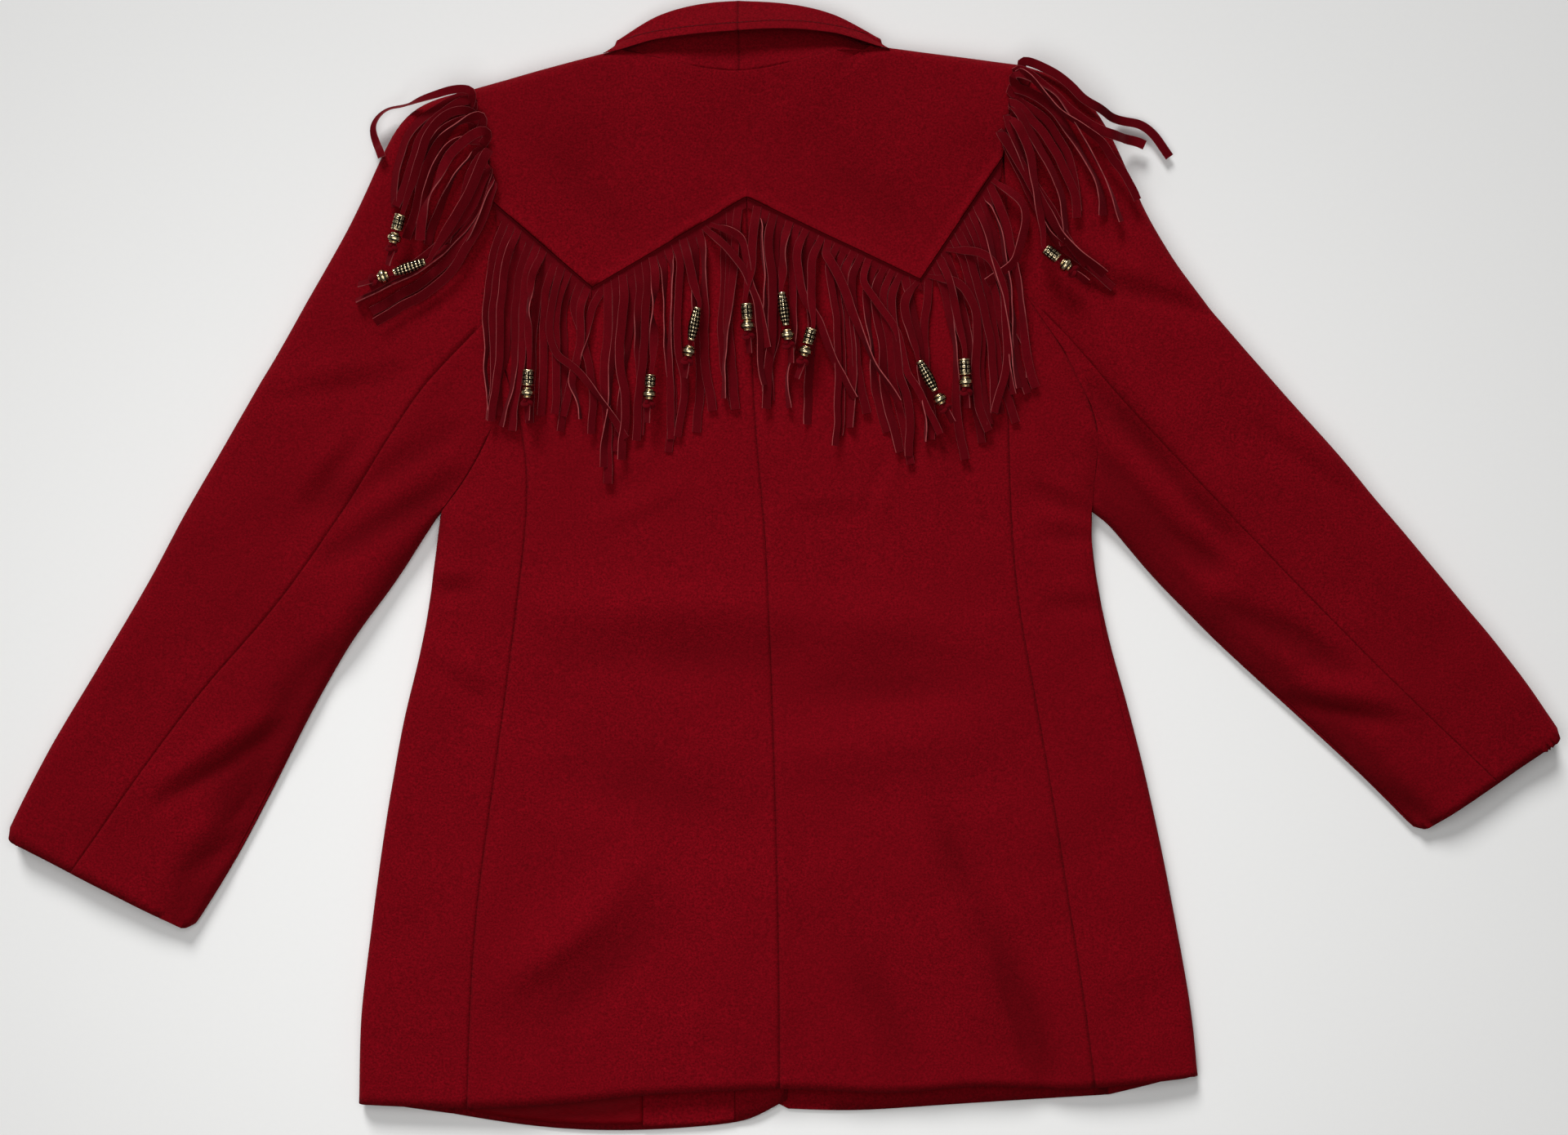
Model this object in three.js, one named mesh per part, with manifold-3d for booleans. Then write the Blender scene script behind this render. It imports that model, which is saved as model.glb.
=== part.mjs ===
// Women's western blazer, laid flat on its fronts with the back up, sleeves spread.
// Millimetres. +Z is up, +Y points to the collar, +X to the wearer's right sleeve.
// The origin is the middle of the footprint, on the surface that the blazer lies on.
import * as THREE from 'three';
import Module from 'manifold-3d';
import { mergeVertices } from 'three/addons/utils/BufferGeometryUtils.js';

const wasm = await Module();
wasm.setup();

// ---------------------------------------------------------------- sizes

const CLOTH = 2.0; // wool with its canvas
const LINING = 1.0; // thin satin, folded double at its hem
const FACING = 1.4; // wool without canvas
const SEAM_GAP = 0.3;
const PLY_GAP = 0.5; // between a piece and the piece that it lies on
const SUEDE = 1.1;
const STRIP_THICKNESS = 1.0; // suede stretched a little by the slitting
const STRIP_RISE = 1.6; // height from one layer of strips to the next
const STRIP_LAYERS = 4;
const STRIP_ROOT = 2.5; // how far a strip reaches into the band that it hangs from
const STRIP_START = 9; // by here a strip has risen to its own layer
const LEAST_LEAN = 0.5; // narrowest share of its width that a leaning strip starts with
const HEADER_WIDTH = 8; // uncut band that the strips hang from
const HEADER_GAP = 0.6; // from the seam to the band
const HEADER_LIFT = 0.5; // from the cloth to the band
const BAND_END_GAP = 0.4; // cut off each end of a band
const BAND_MARGIN = 0.03; // share of a band that is left clear of strips at each end
const HEADER_CELL = 22; // longest cell of the band
const CLEAR_PROBE = 12; // a strip clears the cloth this far round it
const CORD_WIDTH = 3; // strip rolled up to pass through a bead
const KNOT_WIDTH = 5.5;
const KNOT_HEIGHT = 3.6;
const KNOT_HALF = 2.4;
const TAIL_LENGTH = 10;
const BEAD_RADIUS = 5.3;
const BEAD_CLEARANCE = 0.4;
const BEAD_SIDES = 8;
const ROLL_STEP = 30; // degrees between the columns round a rolled edge
const EDGE_PROBE = 8; // how far in from an edge its thickness is taken
const ARMHOLE_BLEND = 45; // width over which the sleeve's thickness takes over from the body's
const BOW_ROWS = 5; // rows over which a curved seam dies out into straight rows
const YOKE_POINT_ROWS = 4; // rows over which the yoke's points die out in the back panels
const LEAST_SLANT = 0.2; // keeps the seam gap finite where a grid's lines nearly meet
const FRONT_STEP = 10; // width of the step where a front rises over another piece
const FRONT_FLAT = 2; // the step ends this far outside the edge of the piece below
const FRONT_RISE_INSET = 4; // the step is over this far inside the edge of the piece below
const LAPEL_INSET = 18; // the lapel's edge lies this far inside the step of the front above it
const UNDERARM_CLEARANCE = 0.8; // spreads the folded edges of body and sleeve where they part

const RED = '#6b0a12';
const DEEP_RED = '#560a10';
const SUEDE_RED = '#5f1018';
const GOLD = '#a8874b';

// Body: side edges and how thick it lies, from shoulder to hem.
const BODY_ROWS = [
  { y: 380, left: -250, right: 222, height: 15 },
  { y: 330, left: -250, right: 222, height: 17 },
  { y: 250, left: -250, right: 222, height: 17.5 },
  { y: 150, left: -250, right: 222, height: 16 },
  { y: 40, left: -250, right: 221, height: 14.5 },
  { y: -15, left: -255, right: 227, height: 14.5 },
  { y: -62, left: -263, right: 238, height: 14.5 },
  { y: -109, left: -276, right: 252, height: 14.5 },
  { y: -180, left: -288, right: 269, height: 14.5 },
  { y: -251, left: -298, right: 283, height: 14.5 },
  { y: -322, left: -307, right: 296, height: 14 },
  { y: -369, left: -309, right: 300, height: 13.5 },
  { y: -410, left: -307, right: 300, height: 13 },
];

// Shoulder pads: a soft swelling each side.
const PADS = [
  { x: -190, y: 318, radius: 60, height: 7 },
  { x: 148, y: 334, radius: 60, height: 7 },
];

// Soft folds: a ridge (height above 0) or a trough from one point to another.
const FOLDS = [
  { x0: -160, y0: -36, x1: -30, y1: -30, width: 26, height: 2.0 },
  { x0: -154, y0: -62, x1: -36, y1: -60, width: 20, height: -1.6 },
  { x0: -172, y0: 12, x1: -92, y1: 4, width: 17, height: -1.8 },
  { x0: -150, y0: 56, x1: -126, y1: 84, width: 14, height: -1.6 },
  { x0: -262, y0: -78, x1: -214, y1: -58, width: 13, height: 2.2 },
  { x0: -250, y0: -14, x1: -222, y1: -10, width: 10, height: -1.8 },
  { x0: -268, y0: -122, x1: -226, y1: -98, width: 13, height: -1.8 },
  { x0: -132, y0: -268, x1: -196, y1: -318, width: 20, height: -2.0 },
  { x0: -120, y0: -222, x1: -206, y1: -292, width: 22, height: 1.8 },
  { x0: 4, y0: -150, x1: 6, y1: -372, width: 16, height: -1.6 },
  { x0: 38, y0: -190, x1: 40, y1: -376, width: 26, height: 1.6 },
  { x0: 116, y0: -190, x1: 186, y1: -370, width: 17, height: -2.6 },
  { x0: 88, y0: -200, x1: 146, y1: -366, width: 20, height: 1.6 },
  { x0: 152, y0: -178, x1: 214, y1: -330, width: 20, height: 1.8 },
  { x0: -6, y0: -72, x1: 84, y1: -78, width: 26, height: -1.6 },
  { x0: 180, y0: 46, x1: 218, y1: 52, width: 11, height: -2.0 },
  { x0: 186, y0: 24, x1: 222, y1: 26, width: 10, height: -2.2 },
  { x0: 192, y0: -26, x1: 226, y1: -24, width: 10, height: -1.8 },
  { x0: 206, y0: -84, x1: 238, y1: -92, width: 11, height: -1.6 },
  { x0: 60, y0: 38, x1: 74, y1: 80, width: 9, height: 1.5 },
  // left sleeve
  { x0: -372, y0: 120, x1: -276, y1: 140, width: 14, height: -1.8 },
  { x0: -345, y0: 44, x1: -306, y1: 94, width: 13, height: -2.2 },
  { x0: -290, y0: 40, x1: -240, y1: 92, width: 15, height: 2.4 },
  { x0: -450, y0: -172, x1: -370, y1: -118, width: 12, height: -4.4 },
  { x0: -452, y0: -148, x1: -372, y1: -96, width: 13, height: 2.2 },
  { x0: -466, y0: -226, x1: -394, y1: -182, width: 12, height: -3.4 },
  { x0: -500, y0: -80, x1: -446, y1: -40, width: 16, height: -1.6 },
  // right sleeve
  { x0: 196, y0: 188, x1: 284, y1: 30, width: 15, height: -4.0 },
  { x0: 284, y0: 30, x1: 316, y1: -4, width: 16, height: -3.4 },
  { x0: 212, y0: 216, x1: 304, y1: 182, width: 12, height: -4.0 },
  { x0: 246, y0: 244, x1: 300, y1: 214, width: 14, height: 2.0 },
  { x0: 250, y0: 130, x1: 330, y1: 36, width: 18, height: 2.0 },
  { x0: 316, y0: -34, x1: 366, y1: -62, width: 14, height: -2.6 },
  { x0: 366, y0: -100, x1: 436, y1: -112, width: 13, height: -4.2 },
  { x0: 370, y0: -78, x1: 440, y1: -92, width: 13, height: 2.2 },
  { x0: 436, y0: -168, x1: 472, y1: -184, width: 12, height: -2.6 },
  { x0: 340, y0: 98, x1: 404, y1: 54, width: 14, height: -1.8 },
];

// Lower edge of the back yoke: a W from armhole to armhole.
const YOKE_EDGE = [
  { x: -209, y: 263 },
  { x: -138, y: 202 },
  { x: -27, y: 267 },
  { x: 98, y: 208 },
  { x: 157, y: 295 },
];

// Back neckline seam, from the left neck point to the right one.
const NECKLINE = [
  { x: -118, y: 374.5 },
  { x: -96, y: 368.5 },
  { x: -73, y: 362 },
  { x: -52, y: 358 },
  { x: -32, y: 356.5 },
  { x: -10, y: 359.5 },
  { x: 14, y: 366 },
  { x: 38, y: 372.5 },
  { x: 62, y: 377 },
];

// Centre back seam below the yoke.
const CENTRE_BACK = [
  { x: -27, y: 267 },
  { x: -21, y: 103 },
  { x: -13, y: 20 },
  { x: -8, y: -102 },
  { x: -3.5, y: -273 },
  { x: -3, y: -376 },
];

// Level of the cross rows of the back panels on the centre back seam.
const BACK_LEVELS = [267, 245, 220, 190, 156, 110, 65, 20, -30, -80, -130, -180, -230, -280, -325, -376];

// Back hem, from the left side edge to the right one.
const BACK_HEM = [
  { x: -312, y: -388 },
  { x: -229, y: -391 },
  { x: -173, y: -388.5 },
  { x: -134, y: -385 },
  { x: -112, y: -381.5 },
  { x: -60, y: -378.5 },
  { x: 0, y: -376 },
  { x: 40, y: -378 },
  { x: 83, y: -380 },
  { x: 146, y: -373 },
  { x: 198, y: -378 },
  { x: 251, y: -374 },
  { x: 304, y: -368 },
];

// Each side's own seams. Armholes run from the shoulder point to the underarm point.
const LEFT = {
  name: 'left',
  sign: -1,
  shoulder: { x: -228, y: 345 },
  underarm: { x: -250, y: 38 },
  backArmhole: [
    { x: -228, y: 345 },
    { x: -213, y: 304 },
    { x: -209, y: 263 },
    { x: -204, y: 233 },
    { x: -203.5, y: 190 },
    { x: -206, y: 156 },
    { x: -205, y: 115 },
    { x: -222, y: 75 },
    { x: -250, y: 38 },
  ],
  sleeveSeamAt: 4, // vertex of the back armhole where the hind-arm seam starts
  princessAt: 5, // vertex where the back princess seam ends
  frontArmhole: [
    { x: -228, y: 345 },
    { x: -200, y: 290 },
    { x: -187, y: 230 },
    { x: -188, y: 170 },
    { x: -205, y: 115 },
    { x: -226, y: 72 },
    { x: -250, y: 38 },
  ],
  sleeveFrontSeamAt: 3,
  sideSeamAt: 4,
  // back panel's outer seam beside each centre back level
  backOuter: [
    { x: -209, y: 263 },
    { x: -204, y: 233 },
    { x: -203.8, y: 212 },
    { x: -203.5, y: 190 },
    { x: -206, y: 156 },
    { x: -190.5, y: 110 },
    { x: -184, y: 65 },
    { x: -187, y: 20 },
    { x: -193, y: -30 },
    { x: -199.5, y: -80 },
    { x: -206, y: -130 },
    { x: -213, y: -180 },
    { x: -220, y: -230 },
    { x: -224.5, y: -280 },
    { x: -227, y: -325 },
    { x: -229, y: -391 },
  ],
  princessRow: 4, // row of backOuter where the side panel starts
  hemCorner: { x: -307, y: -388 },
  sideSeamHem: { x: -240, y: -397 },
  sleeveOuter: [
    { x: -228, y: 345 },
    { x: -258, y: 339 },
    { x: -284, y: 331 },
    { x: -294, y: 292 },
    { x: -314, y: 245 },
    { x: -342, y: 198 },
    { x: -369, y: 150 },
    { x: -424, y: 56 },
    { x: -475, y: -38 },
    { x: -534, y: -133 },
    { x: -562, y: -184 },
    { x: -564, y: -195 },
  ],
  sleeveInner: [
    { x: -250, y: 38 },
    { x: -284, y: -15 },
    { x: -320, y: -62 },
    { x: -345, y: -109 },
    { x: -368, y: -156 },
    { x: -393, y: -204 },
    { x: -421, y: -256 },
    { x: -430, y: -264 },
  ],
  sleeveSeam: [
    { x: -203.5, y: 190 },
    { x: -262, y: 128 },
    { x: -304, y: 62 },
    { x: -362, y: -25 },
    { x: -427, y: -96 },
    { x: -516, y: -222 },
  ],
  frontHem: [
    { x: -240, y: -397 },
    { x: -221, y: -401 },
    { x: -170, y: -408 },
    { x: -119, y: -409.5 },
    { x: -59, y: -407 },
    { x: -40, y: -405 },
    { x: -25, y: -401 },
    { x: -10, y: -395 },
    { x: 2, y: -386 },
  ],
  // front edge: neck point, down the roll line to the break, then the closing edge
  frontEdge: [
    { x: -113, y: 371 },
    { x: -80, y: 260 },
    { x: -44, y: 130 },
    { x: -18, y: 22 },
    { x: -7, y: -20 },
    { x: 1, y: -200 },
    { x: 4, y: -340 },
    { x: 2, y: -386 },
  ],
  // outer edge of the piece under this front: the lapel, then the other front
  riseLine: [
    { y: 400, x: -158 },
    { y: 350, x: -158 },
    { y: 300, x: -162 },
    { y: 240, x: -152 },
    { y: 160, x: -122 },
    { y: 90, x: -78 },
    { y: 44, x: -40 },
    { y: 0, x: -32 },
    { y: -420, x: -24 },
  ],
  riseEnds: { from: -1000, to: -2000 }, // the rise runs on to the hem, over the other front
  lapelTip: { x: -25, y: 44 },
  collarRows: [
    { rollX: -33, rollY: 409.6, edgeY: 384.5, edgeX: -33, lift: 23 },
    { rollX: -56, rollY: 408.5, edgeY: 383, edgeX: -53, lift: 22.5 },
    { rollX: -80, rollY: 403.5, edgeY: 381, edgeX: -77, lift: 21.5 },
    { rollX: -100, rollY: 395.5, edgeY: 378, edgeX: -102, lift: 20 },
    { rollX: -115, rollY: 386, edgeY: 374.5, edgeX: -124, lift: 18.5 },
  ],
  neckIndex: 0,
  lapelShoulder: { x: -136, y: 369.6 },
};

const RIGHT = {
  name: 'right',
  sign: 1,
  shoulder: { x: 172, y: 363 },
  underarm: { x: 221, y: 42 },
  backArmhole: [
    { x: 172, y: 363 },
    { x: 162, y: 328 },
    { x: 157, y: 295 },
    { x: 161, y: 255 },
    { x: 164, y: 222 },
    { x: 173, y: 198 },
    { x: 188, y: 177 },
    { x: 200, y: 161 },
    { x: 224, y: 117 },
    { x: 228, y: 91 },
    { x: 225, y: 66 },
    { x: 221, y: 42 },
  ],
  sleeveSeamAt: 5,
  princessAt: 4,
  frontArmhole: [
    { x: 172, y: 363 },
    { x: 148, y: 304 },
    { x: 137, y: 240 },
    { x: 141, y: 178 },
    { x: 160, y: 126 },
    { x: 190, y: 76 },
    { x: 221, y: 42 },
  ],
  sleeveFrontSeamAt: 3,
  sideSeamAt: 4,
  backOuter: [
    { x: 157, y: 295 },
    { x: 161, y: 255 },
    { x: 164, y: 222 },
    { x: 162.8, y: 190 },
    { x: 162, y: 156 },
    { x: 162, y: 110 },
    { x: 163, y: 65 },
    { x: 165, y: 20 },
    { x: 169.5, y: -30 },
    { x: 179, y: -80 },
    { x: 188, y: -130 },
    { x: 196.5, y: -180 },
    { x: 204, y: -230 },
    { x: 212, y: -280 },
    { x: 218.5, y: -325 },
    { x: 225, y: -376 },
  ],
  princessRow: 2,
  hemCorner: { x: 300, y: -368 },
  sideSeamHem: { x: 236, y: -383 },
  sleeveOuter: [
    { x: 172, y: 363 },
    { x: 199, y: 363 },
    { x: 227, y: 339 },
    { x: 248, y: 292 },
    { x: 264, y: 245 },
    { x: 298, y: 198 },
    { x: 340, y: 150 },
    { x: 403, y: 80 },
    { x: 462, y: 9 },
    { x: 522, y: -62 },
    { x: 560, y: -108 },
    { x: 564, y: -122 },
  ],
  sleeveInner: [
    { x: 221, y: 42 },
    { x: 236, y: 30 },
    { x: 274, y: -15 },
    { x: 322, y: -62 },
    { x: 374, y: -109 },
    { x: 425, y: -156 },
    { x: 452, y: -188 },
    { x: 461, y: -193 },
  ],
  sleeveSeam: [
    { x: 173, y: 198 },
    { x: 197, y: 177 },
    { x: 250, y: 114 },
    { x: 306, y: 53 },
    { x: 431, y: -75 },
    { x: 516, y: -156 },
  ],
  frontHem: [
    { x: 236, y: -383 },
    { x: 219, y: -384 },
    { x: 139, y: -389 },
    { x: 94, y: -392 },
    { x: 72, y: -396 },
    { x: 23, y: -394.5 },
    { x: -2, y: -393 },
    { x: -20, y: -380 },
  ],
  frontEdge: [
    { x: 57, y: 373 },
    { x: 32, y: 260 },
    { x: 4, y: 130 },
    { x: -18, y: 22 },
    { x: -26, y: -20 },
    { x: -25, y: -200 },
    { x: -22, y: -340 },
    { x: -20, y: -380 },
  ],
  riseLine: [
    { y: 400, x: 102 },
    { y: 350, x: 102 },
    { y: 300, x: 108 },
    { y: 240, x: 102 },
    { y: 160, x: 74 },
    { y: 100, x: 36 },
    { y: 66, x: 4 },
    { y: -420, x: -10 },
  ],
  riseEnds: { from: 62, to: 30 }, // the rise dies out below the lapel's tip
  lapelTip: { x: -8, y: 68 },
  collarRows: [
    { rollX: -33, rollY: 409.6, edgeY: 384.5, edgeX: -33, lift: 23 },
    { rollX: -8, rollY: 409.3, edgeY: 386.5, edgeX: -8, lift: 22.5 },
    { rollX: 20, rollY: 405.5, edgeY: 386, edgeX: 16, lift: 21.5 },
    { rollX: 44, rollY: 397.5, edgeY: 382.5, edgeX: 44, lift: 20 },
    { rollX: 60, rollY: 388, edgeY: 378.5, edgeX: 66, lift: 18.5 },
  ],
  neckIndex: 8,
  lapelShoulder: { x: 80, y: 374.7 },
};

// Stations of a sleeve as shares of its outer and inner edges. They fan out from the armhole.
const SLEEVE_STATIONS = [
  { outer: 0, inner: 0 },
  { outer: 0.07, inner: 0.012 },
  { outer: 0.15, inner: 0.03 },
  { outer: 0.23, inner: 0.055 },
  { outer: 0.31, inner: 0.09 },
  { outer: 0.39, inner: 0.14 },
  { outer: 0.47, inner: 0.21 },
  { outer: 0.55, inner: 0.31 },
  { outer: 0.63, inner: 0.43 },
  { outer: 0.72, inner: 0.57 },
  { outer: 0.81, inner: 0.71 },
  { outer: 0.9, inner: 0.85 },
  { outer: 1, inner: 1 },
];
const SLEEVE_TURN_ROWS = 4; // stations over which the rolled edges square up to the sleeve
const SLEEVE_HEIGHTS = [
  { y: 0, height: 19 },
  { y: 0.35, height: 18 },
  { y: 0.7, height: 16.5 },
  { y: 1, height: 15.5 },
];
const FRONT_SEAM_SHARE = 0.8; // how far across the underside the sleeve's front seam lies
const FRONT_SEAM_ROWS = 7; // stations over which it gets there

// ---------------------------------------------------------------- fringe and beads

// Profiles of the metal beads round the bore: distance from the axis, and along it.
const BEAD_PROFILES = {
  cylinder: [
    { radius: 2.2, along: -5.8 },
    { radius: 4.6, along: -5.8 },
    { radius: 4.6, along: 5.8 },
    { radius: 2.2, along: 5.8 },
  ],
  short: [
    { radius: 2.2, along: -4.6 },
    { radius: 4.2, along: -4.6 },
    { radius: 4.2, along: 4.6 },
    { radius: 2.2, along: 4.6 },
  ],
  long: [
    { radius: 2.2, along: -12 },
    { radius: 3.2, along: -12 },
    { radius: 4.2, along: 0 },
    { radius: 3.0, along: 12 },
    { radius: 2.2, along: 12 },
  ],
  ball: [
    { radius: 2.2, along: -3.8 },
    { radius: 3.4, along: -3.8 },
    { radius: 5.3, along: -1 },
    { radius: 5.3, along: 1 },
    { radius: 3.4, along: 3.8 },
    { radius: 2.2, along: 3.8 },
  ],
};

// Seam that each shoulder fringe's band runs along, from the shoulder point down the armhole.
const SHOULDER_SEAMS = {
  left: [{ x: -228, y: 338 }, { x: -213, y: 304 }, { x: -209.5, y: 268 }],
  right: [{ x: 172, y: 359 }, { x: 162, y: 328 }, { x: 157.5, y: 300 }],
};

// How the strips of each fringe fall. Its band hangs from a stretch of a seam (from, to),
// to the right of it (away 1) or to the left. A trim shortens the band's free edge at an end.
// A guide gives the plan points through which the strip at that share of the band passes.
const FRINGES = [
  {
    name: 'yoke_1',
    seam: YOKE_EDGE,
    from: 0,
    to: 1,
    away: 1,
    pitch: 6.4,
    width: 5.4,
    firstLayer: 1,
    trimStart: 10.5,
    trimEnd: 0,
    guides: [
      { at: 0.02, upperX: -212, upperY: 226, lowerX: -217, lowerY: 165, tipX: -212, tipY: 110 },
      { at: 0.29, upperX: -195, upperY: 212, lowerX: -197, lowerY: 160, tipX: -203, tipY: 100 },
      { at: 0.38, upperX: -188, upperY: 206, lowerX: -190, lowerY: 160, tipX: -196, tipY: 102 },
      { at: 0.48, upperX: -181, upperY: 203, lowerX: -182, lowerY: 165, tipX: -190, tipY: 93 },
      { at: 0.63, upperX: -170, upperY: 196, lowerX: -169, lowerY: 160, tipX: -178, tipY: 112 },
      { at: 0.75, upperX: -162, upperY: 190, lowerX: -161, lowerY: 150, tipX: -163, tipY: 98 },
      { at: 1, upperX: -149, upperY: 180, lowerX: -152, lowerY: 145, tipX: -150, tipY: 92 },
    ],
  },
  {
    name: 'yoke_2',
    seam: YOKE_EDGE,
    from: 1,
    to: 2,
    away: 1,
    pitch: 6.4,
    width: 5.4,
    firstLayer: 0,
    trimStart: 0,
    trimEnd: 0,
    guides: [
      { at: 0, upperX: -134, upperY: 178, lowerX: -142, lowerY: 130, tipX: -145, tipY: 82 },
      { at: 0.08, upperX: -129, upperY: 184, lowerX: -131, lowerY: 120, tipX: -135, tipY: 62 },
      { at: 0.16, upperX: -119, upperY: 190, lowerX: -123, lowerY: 150, tipX: -125, tipY: 75 },
      { at: 0.25, upperX: -109, upperY: 198, lowerX: -112, lowerY: 156, tipX: -117, tipY: 79 },
      { at: 0.35, upperX: -98, upperY: 206, lowerX: -100, lowerY: 165, tipX: -104, tipY: 101 },
      { at: 0.44, upperX: -87, upperY: 212, lowerX: -86, lowerY: 165, tipX: -88, tipY: 84 },
      { at: 0.54, upperX: -75, upperY: 219, lowerX: -76, lowerY: 165, tipX: -78, tipY: 93 },
      { at: 0.62, upperX: -67, upperY: 224, lowerX: -68, lowerY: 188, tipX: -68, tipY: 106 },
      { at: 0.72, upperX: -55, upperY: 230, lowerX: -54, lowerY: 180, tipX: -50, tipY: 108 },
      { at: 0.82, upperX: -45, upperY: 236, lowerX: -46, lowerY: 180, tipX: -44, tipY: 116 },
      { at: 0.92, upperX: -36, upperY: 241, lowerX: -40, lowerY: 190, tipX: -39, tipY: 119 },
      { at: 1, upperX: -32, upperY: 244, lowerX: -37, lowerY: 200, tipX: -35, tipY: 130 },
    ],
  },
  {
    name: 'yoke_3',
    seam: YOKE_EDGE,
    from: 2,
    to: 3,
    away: 1,
    pitch: 6.4,
    width: 5.4,
    firstLayer: 1,
    trimStart: 0,
    trimEnd: 0,
    guides: [
      { at: 0.02, upperX: -25, upperY: 244, lowerX: -20, lowerY: 190, tipX: -20, tipY: 130 },
      { at: 0.13, upperX: -13, upperY: 236, lowerX: -11, lowerY: 188, tipX: -12, tipY: 121 },
      { at: 0.24, upperX: 0, upperY: 230, lowerX: -2, lowerY: 165, tipX: -1, tipY: 127 },
      { at: 0.33, upperX: 11, upperY: 225, lowerX: 16, lowerY: 180, tipX: 16, tipY: 95 },
      { at: 0.43, upperX: 22, upperY: 221, lowerX: 27, lowerY: 188, tipX: 26, tipY: 110 },
      { at: 0.52, upperX: 34, upperY: 216, lowerX: 38, lowerY: 188, tipX: 34, tipY: 91 },
      { at: 0.6, upperX: 44, upperY: 212, lowerX: 46, lowerY: 175, tipX: 48, tipY: 104 },
      { at: 0.68, upperX: 54, upperY: 206, lowerX: 58, lowerY: 170, tipX: 68, tipY: 120 },
      { at: 0.78, upperX: 66, upperY: 200, lowerX: 70, lowerY: 160, tipX: 82, tipY: 78 },
      { at: 0.87, upperX: 78, upperY: 196, lowerX: 82, lowerY: 151, tipX: 92, tipY: 85 },
      { at: 1, upperX: 89, upperY: 188, lowerX: 95, lowerY: 138, tipX: 104, tipY: 80 },
    ],
  },
  {
    name: 'yoke_4',
    seam: YOKE_EDGE,
    from: 3,
    to: 4,
    away: 1,
    pitch: 6.4,
    width: 5.4,
    firstLayer: 0,
    trimStart: 0,
    trimEnd: 11.8,
    guides: [
      { at: 0, upperX: 108, upperY: 190, lowerX: 112, lowerY: 150, tipX: 113, tipY: 76 },
      { at: 0.1, upperX: 111, upperY: 196, lowerX: 119, lowerY: 151, tipX: 122, tipY: 80 },
      { at: 0.2, upperX: 117, upperY: 203, lowerX: 127, lowerY: 142, tipX: 131, tipY: 76 },
      { at: 0.32, upperX: 125, upperY: 210, lowerX: 136, lowerY: 160, tipX: 144, tipY: 96 },
      { at: 0.45, upperX: 133, upperY: 218, lowerX: 145, lowerY: 165, tipX: 153, tipY: 108 },
      { at: 0.58, upperX: 141, upperY: 226, lowerX: 153, lowerY: 168, tipX: 162, tipY: 112 },
      { at: 0.72, upperX: 149, upperY: 234, lowerX: 161, lowerY: 178, tipX: 171, tipY: 136 },
      { at: 0.86, upperX: 158, upperY: 243, lowerX: 169, lowerY: 190, tipX: 180, tipY: 128 },
      { at: 1, upperX: 166, upperY: 254, lowerX: 176, lowerY: 210, tipX: 188, tipY: 157 },
    ],
  },
  {
    name: 'shoulder_left',
    seam: SHOULDER_SEAMS.left,
    from: 0,
    to: 2,
    away: 1,
    trimStart: 0,
    trimEnd: 0,
    pitch: 5.6,
    width: 4.4,
    firstLayer: 0,
    guides: [
      { at: 0, upperX: -262, upperY: 325, lowerX: -285, lowerY: 303, tipX: -289, tipY: 262 },
      { at: 0.12, upperX: -255, upperY: 322, lowerX: -267, lowerY: 300, tipX: -279, tipY: 256 },
      { at: 0.25, upperX: -249, upperY: 316, lowerX: -262, lowerY: 290, tipX: -272, tipY: 250 },
      { at: 0.38, upperX: -240, upperY: 312, lowerX: -256, lowerY: 285, tipX: -268, tipY: 240 },
      { at: 0.5, upperX: -234, upperY: 300, lowerX: -250, lowerY: 275, tipX: -264, tipY: 236 },
      { at: 0.62, upperX: -226, upperY: 280, lowerX: -236, lowerY: 252, tipX: -246, tipY: 227 },
      { at: 0.72, upperX: -224, upperY: 262, lowerX: -250, lowerY: 232, tipX: -297, tipY: 207 },
      { at: 0.85, upperX: -224, upperY: 244, lowerX: -252, lowerY: 216, tipX: -305, tipY: 183 },
      { at: 1, upperX: -220, upperY: 232, lowerX: -240, lowerY: 198, tipX: -284, tipY: 172 },
    ],
  },
  {
    name: 'shoulder_right',
    seam: SHOULDER_SEAMS.right,
    from: 0,
    to: 2,
    away: -1,
    trimStart: 0,
    trimEnd: 0,
    pitch: 5.6,
    width: 4.4,
    firstLayer: 0,
    guides: [
      { at: 0, upperX: 202, upperY: 342, lowerX: 222, lowerY: 304, tipX: 241, tipY: 260 },
      { at: 0.15, upperX: 190, upperY: 330, lowerX: 212, lowerY: 290, tipX: 222, tipY: 250 },
      { at: 0.3, upperX: 184, upperY: 316, lowerX: 203, lowerY: 284, tipX: 206, tipY: 246 },
      { at: 0.42, upperX: 180, upperY: 308, lowerX: 194, lowerY: 280, tipX: 198, tipY: 248 },
      { at: 0.55, upperX: 175, upperY: 298, lowerX: 188, lowerY: 270, tipX: 196, tipY: 240 },
      { at: 0.7, upperX: 170, upperY: 286, lowerX: 182, lowerY: 262, tipX: 198, tipY: 232 },
      { at: 0.85, upperX: 176, upperY: 278, lowerX: 192, lowerY: 246, tipX: 227, tipY: 214 },
      { at: 1, upperX: 174, upperY: 266, lowerX: 184, lowerY: 232, tipX: 206, tipY: 192 },
    ],
  },
];

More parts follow.
